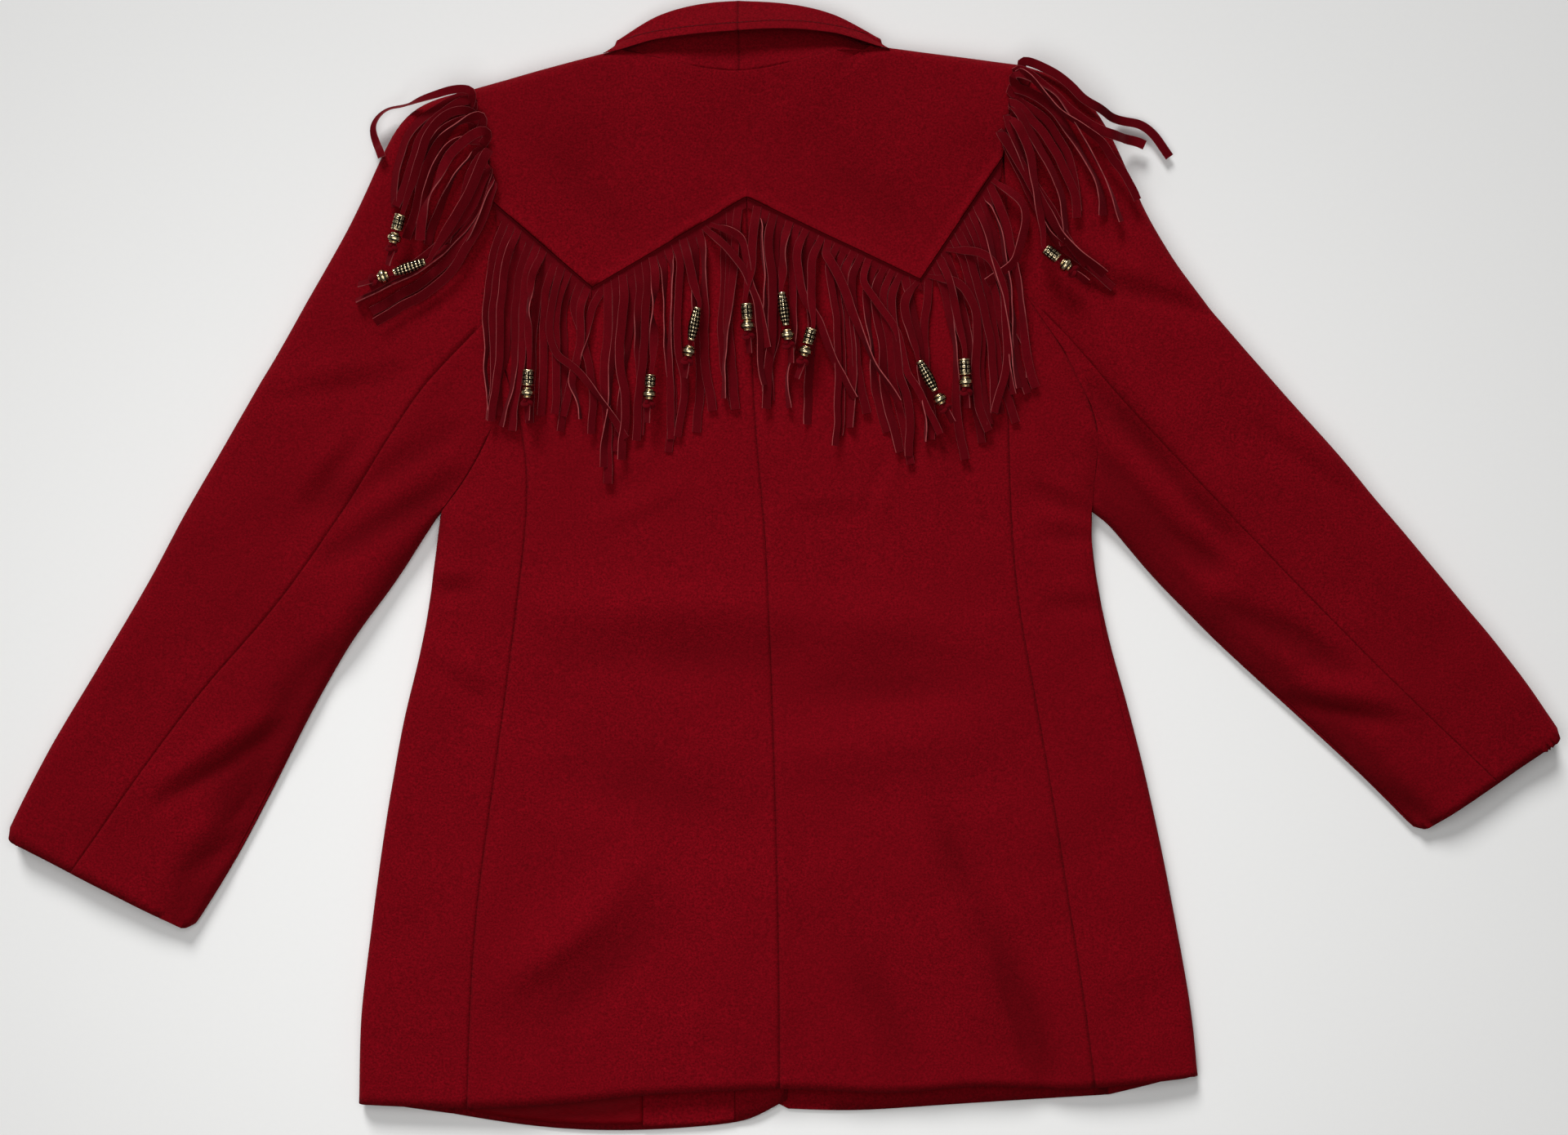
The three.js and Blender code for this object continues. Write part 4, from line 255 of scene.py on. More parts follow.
class BlazerWool(bpy.types.PropertyGroup):
    """Sizes and colours of the wool, its satin lining and its facing."""

    colour: colour_setting("Wool", "Colour of the wool", (0.168, 0.0014, 0.0052))
    lining_colour: colour_setting("Lining", "Colour of the satin lining", (0.140, 0.0010, 0.0040))
    nap_size: length_setting("Nap", "Size of the tufts of the nap", 1.5, 0.2, 5)
    seam_dip: length_setting("Seam dip", "How far the cloth sinks to a seam", 0.32, 0, 3)
    seam_reach: length_setting("Seam reach", "Width over which the cloth sinks to a seam", 3.2, 1, 10)
    yoke_lip: length_setting("Yoke lip", "How far the folded edge of the yoke stands up", 1.7, 0, 4)
    swell: length_setting("Swell", "Height of the soft unevenness of the cloth", 0.7, 0, 3)
    crease_share: number_setting("Creases", "Strength of the pressed creases", 1.0, 0, 3)


class BlazerFringe(bpy.types.PropertyGroup):
    """Sizes and colours of the suede fringe."""

    colour: colour_setting("Suede", "Colour of the suede", (0.118, 0.0012, 0.0046))
    edge_colour: colour_setting("Cut edge", "Colour of the cut edges", (0.38, 0.080, 0.082))
    strip_width: length_setting("Strip width", "Width of a strip", 6.0, 2, 12)
    strip_thickness: length_setting("Strip thickness", "Thickness of a strip", 0.9, 0.3, 2)
    layer_rise: length_setting("Layer rise", "Height from one layer of strips to the next", 1.6, 0.5, 4)
    step: length_setting("Step", "Length of one cell of a strip", 2.4, 1, 10)
    sway: length_setting("Sway", "How far the strips wander sideways", 1.4, 0, 5)
    seed: bpy.props.IntProperty(name="Seed", description="Seed of the strips' wander", default=7, min=0, max=999)


class BlazerBeads(bpy.types.PropertyGroup):
    """Sizes and colours of the metal beads."""

    colour: colour_setting("Metal", "Colour of the worn metal", (0.74, 0.61, 0.39))
    engraving: length_setting("Engraving", "Depth of the engraved pattern", 0.45, 0, 1)


class BlazerStage(bpy.types.PropertyGroup):
    """The floor, the lights and the camera."""

    floor_colour: colour_setting("Floor", "Colour of the floor", (0.95, 0.95, 0.94))
    frame_width: length_setting("Frame width", "Width of the view on the floor", 1132.8, 500, 3000)
    lens: number_setting("Lens", "Focal length in millimetres", 50, 20, 200)
    key_power: number_setting("Key", "Strength of the main light", 2.45, 0, 20)
    fill_power: number_setting("Fill", "Strength of the fill light", 5.1, 0, 100)


# ---------------------------------------------------------------- small helpers


def mix(a, b, share):
    return a + (b - a) * share


def smooth_step(low, high, value):
    """Share from 0 at low to 1 at high, eased at both ends."""
    share = np.clip((value - low) / (high - low), 0, 1)
    return share * share * (3 - 2 * share)


def unit(vector):
    return vector / np.linalg.norm(vector)


def plan(row, x="x", y="y"):
    return np.array([row[x], row[y]], dtype=float)


def points_of(mesh):
    flat = np.empty(len(mesh.vertices) * 3)
    mesh.vertices.foreach_get("co", flat)
    return flat.reshape(-1, 3)


def set_points(mesh, points):
    mesh.vertices.foreach_set("co", points.ravel())
    mesh.update()


def set_attribute(mesh, name, values):
    layer = mesh.attributes.new(name, "FLOAT", "POINT")
    layer.data.foreach_set("value", np.asarray(values, dtype=float))


def add_object(name, mesh):
    piece = bpy.data.objects.new(name, mesh)
    bpy.context.scene.collection.objects.link(piece)
    return piece


def shade_smooth(mesh, smooth=True):
    mesh.polygons.foreach_set("use_smooth", [smooth] * len(mesh.polygons))


def evaluated_mesh(piece):
    """Plain mesh of an object as its modifiers leave it. The modifiers are then removed."""
    graph = bpy.context.evaluated_depsgraph_get()
    mesh = bpy.data.meshes.new_from_object(piece.evaluated_get(graph), preserve_all_data_layers=True, depsgraph=graph)
    piece.modifiers.clear()
    return mesh


# ---------------------------------------------------------------- materials


class Nodes:
    """A node tree under construction."""

    def __init__(self, tree):
        self.tree = tree

    def node(self, kind, inputs=None, **settings):
        """New node with its settings, and its inputs fed with values or with other nodes' outputs."""
        node = self.tree.nodes.new(kind)
        for key, value in settings.items():
            setattr(node, key, value)
        for key, value in (inputs or {}).items():
            self.feed(node.inputs[key], value)
        return node

    def feed(self, socket, value):
        if isinstance(value, bpy.types.NodeSocket):
            self.tree.links.new(value, socket)
        else:
            socket.default_value = value

    def math(self, operation, a, b):
        return self.node("ShaderNodeMath", {0: a, 1: b}, operation=operation).outputs[0]


class Shader(Nodes):
    """A material's nodes."""

    def __init__(self, name):
        self.material = bpy.data.materials.new(name)
        self.material.use_nodes = True
        super().__init__(self.material.node_tree)
        self.surface = self.tree.nodes["Principled BSDF"]
        self.place = self.node("ShaderNodeTexCoord").outputs["Object"]

    def noise(self, size, detail=2.0, roughness=0.5, stretch=(1, 1, 1)):
        """Noise whose features have a size in metres."""
        scale = tuple(factor / size for factor in stretch)
        mapping = self.node("ShaderNodeMapping", {"Vector": self.place, "Scale": scale})
        return self.node("ShaderNodeTexNoise", {
            "Vector": mapping.outputs["Vector"], "Scale": 1.0, "Detail": detail, "Roughness": roughness,
        }).outputs["Fac"]

    def attribute(self, name):
        return self.node("ShaderNodeAttribute", attribute_name=name).outputs["Fac"]

    def remap(self, value, low, high, to_low, to_high, smooth=False):
        return self.node("ShaderNodeMapRange", {
            "Value": value, "From Min": low, "From Max": high, "To Min": to_low, "To Max": to_high,
        }, interpolation_type="SMOOTHSTEP" if smooth else "LINEAR").outputs["Result"]

    def blend(self, factor, a, b):
        a, b = ((*value, 1.0) if isinstance(value, tuple) else value for value in (a, b))
        return self.node("ShaderNodeMix", {"Factor": factor, "A": a, "B": b}, data_type="RGBA").outputs["Result"]

    def bump(self, height, distance, strength=1.0, under=None):
        inputs = {"Height": height, "Distance": distance, "Strength": strength}
        if under is not None:
            inputs["Normal"] = under
        return self.node("ShaderNodeBump", inputs).outputs["Normal"]

    def finish(self, **values):
        """The material, with the values of its surface: Base_Color, Normal, Roughness and the like."""
        for key, value in values.items():
            self.feed(self.surface.inputs[key.replace("_", " ")], value)
        return self.material


class GeometryTree(Nodes):
    """Geometry Nodes with a named input for each of their sizes."""

    def __init__(self, name, sizes):
        super().__init__(bpy.data.node_groups.new(name, "GeometryNodeTree"))
        socket = self.tree.interface.new_socket
        socket("Geometry", in_out="INPUT", socket_type="NodeSocketGeometry")
        for label, value in sizes.items():
            kind = "NodeSocketInt" if isinstance(value, int) else "NodeSocketFloat"
            socket(label, in_out="INPUT", socket_type=kind).default_value = value
        socket("Geometry", in_out="OUTPUT", socket_type="NodeSocketGeometry")
        self.given = self.node("NodeGroupInput").outputs

    def finish(self, geometry, surface):
        """The tree, with what comes out made real and given its material."""
        real = self.node("GeometryNodeRealizeInstances", {0: geometry})
        painted = self.node("GeometryNodeSetMaterial", {"Geometry": real.outputs[0], "Material": surface})
        self.node("NodeGroupOutput", {0: painted.outputs[0]})
        return self.tree


def scaled(colour, factor):
    return tuple(min(part * factor, 1.0) for part in colour)


def toward(colour, other, share):
    return tuple(mix(a, b, share) for a, b in zip(colour, other))


def wool_material():
    """Milled wool: short felted nap, faint twill below it, seams that sink, with painted shade along them, along the
    stitch row and in the troughs of the creases.
    """
    wool = bpy.context.scene.blazer_wool
    shader = Shader("milled_wool")
    size = wool.nap_size
    tufts = shader.noise(size, detail=3, roughness=0.65)
    clumps = shader.noise(size * 4.5, detail=2, roughness=0.6)
    tone = shader.noise(0.16, detail=2, roughness=0.5)
    twill = shader.noise(size * 0.9, detail=1, stretch=(1.6, 0.35, 1))
    body = tuple(wool.colour)
    fibres = shader.blend(shader.remap(tufts, 0.3, 0.7, 0, 1), scaled(body, 0.52), scaled(body, 1.50))
    patches = shader.blend(shader.remap(clumps, 0.3, 0.7, 0, 0.34), fibres, scaled(body, 0.76))
    toned = shader.blend(shader.remap(tone, 0.35, 0.65, 0, 0.35), patches, scaled(body, 0.84))
    # Painted shade: the wool's colour darkens in the troughs of creases and folds, the deeper the darker.
    crease_darkening = shader.remap(shader.attribute("hollow"), 0.0, 1.0, 0.0, 0.45, smooth=True)
    broad = shader.blend(crease_darkening, toned, scaled(body, 0.4))
    # Painted shade: a fine dark line along each seam and along the sunk row of stitches on the fall, blended toward a
    # darker red.
    seam = shader.attribute("seam")
    line = shader.remap(seam, 0.05, 0.5, 0.32, 0.0, smooth=True)
    stitched = shader.math("ABSOLUTE", shader.math("SUBTRACT", shader.attribute("stitched"), STITCH_INSET / MM), 0.0)
    sunk = shader.remap(stitched, 0.2, 1.0, 0.5, 0.0, smooth=True)
    colour = shader.blend(shader.math("MAXIMUM", line, sunk), broad, scaled(body, 0.25))
    low = shader.math("MINIMUM", *(shader.remap(away, 0.0, 1.6, 0.0, 1.0, smooth=True) for away in (seam, stitched)))
    groove = shader.bump(low, 0.2 * MM, 0.5)
    felt = shader.bump(shader.math("ADD", tufts, shader.math("MULTIPLY", twill, 0.4)), 0.6 * MM, 0.6, groove)
    normal = shader.bump(clumps, 1.0 * MM, 0.35, felt)
    return shader.finish(
        Base_Color=colour, Normal=normal, Roughness=0.95, Specular_IOR_Level=0.04, Sheen_Weight=0.06,
        Sheen_Roughness=0.5, Sheen_Tint=(1.0, 0.12, 0.14, 1))


def satin_material():
    """Satin lining: smooth, with a soft shine along its weft."""
    wool = bpy.context.scene.blazer_wool
    shader = Shader("satin_lining")
    weft = shader.noise(0.5 * MM, detail=1, stretch=(0.12, 1, 1))
    ripple = shader.noise(14 * MM, detail=2)
    base = tuple(wool.lining_colour)
    colour = shader.blend(shader.remap(weft, 0.3, 0.7, 0, 1), scaled(base, 0.82), scaled(base, 1.18))
    waves = shader.bump(ripple, 2.5 * MM, 0.5)
    normal = shader.bump(weft, 0.1 * MM, 0.3, waves)
    rough = shader.remap(weft, 0.3, 0.7, 0.38, 0.5)
    return shader.finish(
        Base_Color=colour, Normal=normal, Roughness=rough, Specular_IOR_Level=0.06, Specular_Tint=(1.0, 0.3, 0.3, 1))


def suede_material():
    """Suede strips: brushed nap, a tone of its own on each strip and pale cut edges."""
    fringe = bpy.context.scene.blazer_fringe
    shader = Shader("brushed_suede")
    base = tuple(fringe.colour)
    nap = shader.noise(0.9 * MM, detail=3, roughness=0.7)
    brushed = shader.noise(3.2 * MM, detail=2, stretch=(1, 0.45, 1))
    tone = shader.attribute("tone")
    fibres = shader.blend(shader.remap(nap, 0.3, 0.7, 0, 1), scaled(base, 0.76), scaled(base, 1.24))
    strokes = shader.blend(shader.remap(brushed, 0.35, 0.65, 0, 0.45), fibres, scaled(base, 0.66))
    toned = shader.blend(shader.remap(tone, 0, 1, 0.0, 0.55), strokes, scaled(base, 0.62))
    worn = shader.math("MULTIPLY", shader.attribute("cut"), shader.remap(brushed, 0.3, 0.6, 0.5, 1.0))
    colour = shader.blend(worn, toned, tuple(fringe.edge_colour))
    grain = shader.bump(brushed, 0.5 * MM, 0.3)
    normal = shader.bump(nap, 0.35 * MM, 0.5, grain)
    return shader.finish(
        Base_Color=colour, Normal=normal, Roughness=0.95, Specular_IOR_Level=0.04, Sheen_Weight=0.08,
        Sheen_Roughness=0.5, Sheen_Tint=(1.0, 0.2, 0.24, 1))


def metal_material():
    """Antique metal: worn bright on the high places, black in the engraving."""
    beads = bpy.context.scene.blazer_beads
    shader = Shader("antique_metal")
    base = tuple(beads.colour)
    spots = shader.noise(1.1 * MM, detail=3, roughness=0.6)
    warm = shader.blend(shader.remap(spots, 0.35, 0.65, 0, 1), base, toward(base, (0.62, 0.44, 0.22), 0.6))
    recess = shader.attribute("recess")
    grime = shader.math("ADD", recess, shader.remap(spots, 0.5, 0.72, 0, 0.45))
    colour = shader.blend(shader.remap(grime, 0.06, 0.45, 0, 1, smooth=True), warm, (0.008, 0.006, 0.005))
    rough = shader.remap(grime, 0.1, 0.9, 0.17, 0.65)
    normal = shader.bump(spots, 0.15 * MM, 0.35)
    return shader.finish(Base_Color=colour, Normal=normal, Roughness=rough, Metallic=1.0)


def floor_material():
    stage = bpy.context.scene.blazer_stage
    shader = Shader("floor_paper")
    base = tuple(stage.floor_colour)
    grain = shader.noise(4 * MM, detail=2)
    colour = shader.blend(grain, scaled(base, 0.985), base)
    return shader.finish(Base_Color=colour, Roughness=0.95, Specular_IOR_Level=0.1)


def material(name, maker):
    """The material of a name, made when it is first asked for."""
    return bpy.data.materials.get(name) or maker()


# ---------------------------------------------------------------- cloth

MERGE = 1e-6
RIM_ANGLE = math.radians(50)
CORNER_ANGLE = math.radians(24)
PAIRING = 2.5  # how strongly regular rows of four-sided cells are preferred
UPPER_FROM = 4 * MM  # the upper side of the blazer begins over this height
UPPER_TO = 10 * MM


def seam_corner(vertex):
    """True where the rim of a piece turns a corner that the maker cut."""
    rims = [edge for edge in vertex.link_edges if not edge.smooth]
    if len(rims) != 2:
        return len(rims) == 1
    before, after = (edge.other_vert(vertex).co - vertex.co for edge in rims)
    return before.angle(-after, 0) > CORNER_ANGLE


def finer_shell(node, levels):
    """Mesh with a node's form: its triangles paired into rows, then rounded by subdivision."""
    work = bmesh.new()
    work.from_mesh(NODES[node].data)
    bmesh.ops.remove_doubles(work, verts=work.verts, dist=MERGE)
    for edge in work.edges:
        edge.smooth = edge.calc_face_angle(0) < RIM_ANGLE
    bmesh.ops.join_triangles(
        work, faces=work.faces, cmp_sharp=True, angle_face_threshold=math.pi, angle_shape_threshold=math.pi,
        topology_influence=PAIRING)
    crease = work.edges.layers.float.new("crease_edge")
    corner = work.verts.layers.float.new("crease_vert")
    for edge in work.edges:
        edge[crease] = 0.0 if edge.smooth else 1.0
    for vertex in work.verts:
        vertex[corner] = 1.0 if seam_corner(vertex) else 0.0
    mesh = bpy.data.meshes.new(node + "_cage")
    work.to_mesh(mesh)
    work.free()
    cage = add_object(node + "_cage", mesh)
    rounding = cage.modifiers.new("Rounding", "SUBSURF")
    rounding.levels = rounding.render_levels = levels
    finer = evaluated_mesh(cage)
    bpy.data.objects.remove(cage)
    bpy.data.meshes.remove(mesh)
    return finer


def rim_points(mesh):
    """Points close together along the rims of a shell."""
    work = bmesh.new()
    work.from_mesh(mesh)
    shares = (0, 0.25, 0.5, 0.75)
    points = [
        edge.verts[0].co.lerp(edge.verts[1].co, share)
        for edge in work.edges if edge.calc_face_angle(0) > RIM_ANGLE for share in shares
    ]
    work.free()
    return points


def distances(points, targets, most):
    """Distance from each point to the nearest target, cut off at most."""
    tree = KDTree(len(targets))
    for index, target in enumerate(targets):
        tree.insert(target, index)
    tree.balance()
    return np.array([min(tree.find(point)[2], most) for point in points])


def segment_distance(points, start, end):
    """Distance in plan from points to a segment, and how far along it each lies."""
    run = end - start
    share = np.clip(((points - start) @ run) / (run @ run), 0, 1)
    return np.linalg.norm(points - start - share[:, None] * run, axis=1), share


CREASE_ENDS = (0.12, 0.88)  # stretch of a half wave along which a crease rises and falls
CREASE_TAPER = 0.7


def crease_heights(points, rows, wider=1.0):
    """Height that creases or folds add at plan points."""
    heights = np.zeros(len(points))
    for row in rows:
        away, share = segment_distance(points, plan(row, "x0", "y0") * MM, plan(row, "x1", "y1") * MM)
        fade = np.sin(np.pi * mix(*CREASE_ENDS, share)) ** CREASE_TAPER
        heights += row["height"] * MM * fade * np.exp(-((away / (row["width"] * wider * MM)) ** 2))
    return heights


CREASE_DEPTH = 2.8
CREASE_WIDER = 1.3
DARKEST_CREASE_DEPTH = 4.5 * MM  # depth of a trough at which the painted crease shade is darkest
FOLD_DEPTH = 2.0
PRESSED_SHARE = 0.72  # share of its height over the ground that cloth can be pressed down
SWELL_WAVES = 28
SWELL_SHORTEST = 0.026
SWELL_LONGEST = 0.11
SWELL_PEAK = 1.4  # height of the waves' sum over their usual height


def swell_heights(points, height):
    """Soft unevenness of the laid cloth: crossing waves of many lengths and directions."""
    wave = np.random.default_rng(3)
    total = np.zeros(len(points))
    for _ in range(SWELL_WAVES):
        length = wave.uniform(SWELL_SHORTEST, SWELL_LONGEST)
        turn = wave.uniform(0, math.pi)
        direction = np.array([math.cos(turn), math.sin(turn)])
        total += (length / SWELL_LONGEST) * np.sin(points @ direction * 2 * math.pi / length + wave.uniform(0, 6.28))
    return total * height * SWELL_PEAK / math.sqrt(SWELL_WAVES)


YOKE_LIP_REACH = 7 * MM


def lip_heights(points):
    """How far the yoke's folded lower edge stands up over the fringe's band."""
    lip = np.zeros(len(points))
    line = [plan(row) * MM for row in YOKE_EDGE]
    for start, end in zip(line, line[1:]):
        away, _ = segment_distance(points, start, end)
        lip = np.maximum(lip, 1 - smooth_step(1.0 * MM, YOKE_LIP_REACH, away))
    return lip


def fall_distance(points):
    """Distance in plan from the fall's lower edge, on the fall's upper side alone."""
    line = [plan(row) * MM for row in FALL_EDGE]
    nearest = np.min([segment_distance(points[:, :2], a, b)[0] for a, b in zip(line, line[1:])], axis=0)
    edge = np.interp(points[:, 0], [x for x, _ in line], [y for _, y in line])
    return np.where((points[:, 2] > FALL_FROM) & (points[:, 1] > edge), nearest, FALL_FAR)


CUFF_SLACK = 4 * MM
CUFF_FADE = 14 * MM
CORNER_ROUND = 9 * MM


def straight_cuff(points, rim, cuff, corner):
    """Points moved so that the rim near a cuff lies on one straight cut, with its outer corner rounded."""
    start, end = plan(cuff, "x0", "y0") * MM, plan(cuff, "x1", "y1") * MM
    run = unit(end - start)
    inward = np.array([-run[1], run[0]])
    if inward[1] < 0:
        inward = -inward
    along, deep = (rim[:, :2] - start) @ run, (rim[:, :2] - start) @ inward
    near = np.abs(deep) < CUFF_SLACK
    if not near.any():
        return points
    order = np.argsort(along[near])
    wanted = (points[:, :2] - start) @ run
    notch = np.interp(wanted, along[near][order], deep[near][order])
    inside = (points[:, :2] - start) @ inward
    share = np.where(inside < CUFF_FADE + CUFF_SLACK, 1 - smooth_step(0, CUFF_FADE, inside - notch), 0)
    points[:, :2] -= (notch * share)[:, None] * inward
    ends = {1: start + run * along[near].min(), -1: start + run * along[near].max()}
    return round_corner(points, ends[corner], run * corner, inward)


def round_corner(points, place, across, inward):
    """Points with a square corner drawn in to a quarter round."""
    aside = CORNER_ROUND - (points[:, :2] - place) @ across
    deep = CORNER_ROUND - (points[:, :2] - place) @ inward
    near = (aside > 0) & (deep > 0)
    share = np.where(near, 1 - np.maximum(aside, deep) / np.maximum(np.hypot(aside, deep), 1e-9), 0)
    points[:, :2] += (aside * share)[:, None] * across + (deep * share)[:, None] * inward
    return points


# Ends of the collar and the neck points below them: node, where the move begins and is whole, and the move.
NECK_ENDS = table("node beginX wholeX dx dy dz lowestY", [
    ("collar_left", -90, -120, -6, -4, -2.5, 300), ("collar_right", 36, 64, 10, -5, -2, 300),
    ("front_left", -138, -130, 0, -3, 0, 364), ("front_right", 82, 74, 0, -3, 0, 366),
    ("lapel_left", -104, -124, 8, -9, 0, 352), ("lapel_right", 52, 70, -7, -4, 0, 354),
])


def neck_ends(node, points):
    """Points with the collar's ends drawn down on the shoulders, over the neck points of the fronts."""
    for row in NECK_ENDS:
        if row["node"] == node:
            share = smooth_step(row["beginX"] * MM, row["wholeX"] * MM, points[:, 0])
            share = share * smooth_step(row["lowestY"] * MM, (row["lowestY"] + 6) * MM, points[:, 1])
            points += share[:, None] * np.array([row["dx"], row["dy"], row["dz"]]) * MM
    return points


SEAM_CLOSE = 0.16 * MM
SEAM_WALL = (0.4 * MM, 1.4 * MM)
SEAM_FAR = 20 * MM
WALL_LEVEL = 0.3  # a wall's normal has at least this much of its length level


def seams_closed(mesh, points, seam):
    """Points with the side walls moved out, so that neighbours meet in a fine line."""
    normals = np.empty(len(mesh.vertices) * 3)
    mesh.vertices.foreach_get("normal", normals)
    level = normals.reshape(-1, 3)[:, :2]
    size = np.linalg.norm(level, axis=1)
    outward = np.where(size > WALL_LEVEL, SEAM_CLOSE / np.maximum(size, WALL_LEVEL), 0)
    share = (1 - smooth_step(*SEAM_WALL, seam)) * outward
    points[:, :2] += level * share[:, None]
    return points


def cloth_piece(row):
    """One piece of wool in place of its node."""
    wool = bpy.context.scene.blazer_wool
    node = row["node"]
    mesh = finer_shell(node, row["levels"])
    points = points_of(mesh)
    for cuff in CUFFS:
        if cuff["name"] in node:
            points = straight_cuff(points, np.array(rim_points(mesh)), cuff, 1 if node.startswith("top") else -1)
            set_points(mesh, points)
    rim = rim_points(mesh)
    seam = distances(points, rim, SEAM_FAR)
    points = neck_ends(node, seams_closed(mesh, points, seam))
    upper = smooth_step(UPPER_FROM, UPPER_TO, points[:, 2])
    dip = wool.seam_dip * np.exp(-((seam / wool.seam_reach) ** 2))
    if node == "back_yoke":
        lip = lip_heights(points[:, :2])
        dip = dip * (1 - lip) - wool.yoke_lip * lip
    creases = crease_heights(points[:, :2], CREASES, CREASE_WIDER) * CREASE_DEPTH
    folds = crease_heights(points[:, :2], FOLDS) * FOLD_DEPTH
    relief = (creases + folds) * wool.crease_share
    # Share of painted shade in each trough of the creases and folds, which the wool's colour reads.
    set_attribute(mesh, "hollow", np.clip(-relief / DARKEST_CREASE_DEPTH, 0, 1))
    lift = upper * (relief + swell_heights(points[:, :2], wool.swell) - dip)
    points[:, 2] += np.maximum(lift, -PRESSED_SHARE * np.maximum(points[:, 2], 0))
    set_points(mesh, points)
    set_attribute(mesh, "seam", seam / MM)
    if node.startswith("collar"):
        set_attribute(mesh, "stitched", fall_distance(points) / MM)
    shade_smooth(mesh)
    mesh.set_sharp_from_angle(angle=RIM_ANGLE)
    mesh.materials.clear()
    mesh.materials.append(material("milled_wool", wool_material))
    piece = add_object(node + "_wool", mesh)
    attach(piece, "root")
    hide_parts(node)
    return piece


# ---------------------------------------------------------------- stitching

STITCH_PITCH = 3.2 * MM
STITCH_LENGTH = 2.5 * MM
THREAD_RADIUS = 0.28 * MM
THREAD_SIDES = 6


def thread_material():
    """Twisted sewing thread, darker than the wool that it sinks into."""
    wool = bpy.context.scene.blazer_wool
    shader = Shader("sewing_thread")
    twist = shader.noise(0.25 * MM, detail=1, stretch=(1, 0.4, 1))
    base = scaled(tuple(wool.colour), 0.55)
    colour = shader.blend(shader.remap(twist, 0.35, 0.65, 0, 1), scaled(base, 0.7), scaled(base, 1.3))
    normal = shader.bump(twist, 0.1 * MM, 0.5)
    return shader.finish(Base_Color=colour, Normal=normal, Roughness=0.7, Specular_IOR_Level=0.15)


def stitch_tree():
    """Geometry Nodes that lay stitches end to end along curves."""
    tree = GeometryTree("Stitches", {"Pitch": STITCH_PITCH, "Length": STITCH_LENGTH, "Radius": THREAD_RADIUS})
    given, node = tree.given, tree.node
    spots = node("GeometryNodeCurveToPoints", {"Curve": given["Geometry"], "Length": given["Pitch"]}, mode="LENGTH")
    turned = node("FunctionNodeAlignRotationToVector", {"Vector": spots.outputs["Tangent"]}, axis="Z")
    thread = node("GeometryNodeMeshCylinder", {
        "Vertices": THREAD_SIDES, "Radius": given["Radius"], "Depth": given["Length"]})
    laid = node("GeometryNodeInstanceOnPoints", {
        "Points": spots.outputs["Points"], "Instance": thread.outputs["Mesh"], "Rotation": turned.outputs["Rotation"]})
    return tree.finish(laid.outputs[0], material("sewing_thread", thread_material))


def stitch_row():
    """The row of stitches along the fall, laid on the collar's upper side."""
    surface = ClothSurface([piece for piece in CLOTH_PIECES if piece.name.startswith("collar")])
    edge = np.array([plan(row) * MM for row in FALL_EDGE])
    line = rounded(list(offset_line(edge, -STITCH_INSET)), STITCH_PITCH)
    line = [point for point in line if surface.height(*point) > FALL_FROM]
    curve = bpy.data.curves.new("fall_stitch_path", "CURVE")
    curve.dimensions = "3D"
    spline = curve.splines.new("POLY")
    spline.points.add(len(line) - 1)
    for point, (x, y) in zip(spline.points, line):
        point.co = (x, y, surface.height(x, y), 1)
    path = add_object("fall_stitch_path", curve)
    mesh = run_tree(path, stitch_tree(), {"Pitch": STITCH_PITCH})
    bpy.data.objects.remove(path)
    mesh.name = "collar_stitches"
    shade_smooth(mesh)
    stitches = add_object("collar_stitches", mesh)
    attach(stitches, "root")
    return stitches


# ---------------------------------------------------------------- fringe

HEADER_WIDTH = 6.5 * MM
HEADER_GAP = 0.6 * MM
HEADER_LIFT = 0.5 * MM
HEADER_THICKNESS = 1.1 * MM
BAND_END_GAP = 0.4 * MM
BAND_MARGIN = 0.03
BAND_CELLS_ACROSS = 4
BAND_CELL = 3 * MM
BAND_PROBE = 2 * MM
STRIP_ROOT = 4 * MM
STRIP_START = 9 * MM
LAYERS = 4
LEAST_LEAN = 0.5
PLAN_STEP = 4 * MM
SOFT_BENDS = 5
CLEAR_PROBE = 5 * MM
SKY = 0.2
# How unevenly the strips are cut and fall: spreads of their lengths and of their points sideways.
TIP_LENGTHS = 5 * MM
TIP_ASIDE = 3 * MM
LOWER_ASIDE = 1.4 * MM
MIDDLE_ASIDE = 2.6 * MM
WIDTH_SPREAD = (0.84, 1.10)
DROOP = 0.35  # most that a strip comes down from its layer toward its tip
# Strips that curl over the seam before they fall.
LOOPED_SHARE = 0.8
LOOP_SPREAD = (0.4, 1.1)
LOOP_RISE = (3, 11)
LOOP_CLIMB = 0.55
LOOP_FALL = 0.3
LOOP_SAG = 2 * MM
# How the strips are turned, in radians, where on their length, and over what share of it.
LIE_SPREAD = 0.2
SLOW_TURN = 0.35
EDGE_ON_SHARE = 0.55  # share of the strips that stand on edge somewhere
EDGE_ON_TURN = (0.9, 1.6)
EDGE_ON_PLACE = (0.2, 0.95)
EDGE_ON_REACH = (0.12, 0.42)
EDGE_ON_LIFT = 0.35
# Strips with a bead: rolled up to a cord inside it, with a knot and a tail below the ball.
CORD_SHARE = 0.5
BEAD_CLEAR = 2 * MM
BALL_CLEAR = 0.5 * MM
KNOT_BELOW = 3 * MM
TAIL_LENGTH = 12 * MM
TAIL_SINK = 1.5 * MM
# Wander, rounding and cut edges of the strips as they are swept.
WANDER_SCALE = 30.0
WANDER_ACROSS = 4.0
WANDER_UP = 0.6
WANDER_GROWS = 3.0
EDGE_ROUND = 0.16 * MM
EDGE_DEPTH = 0.08 * MM


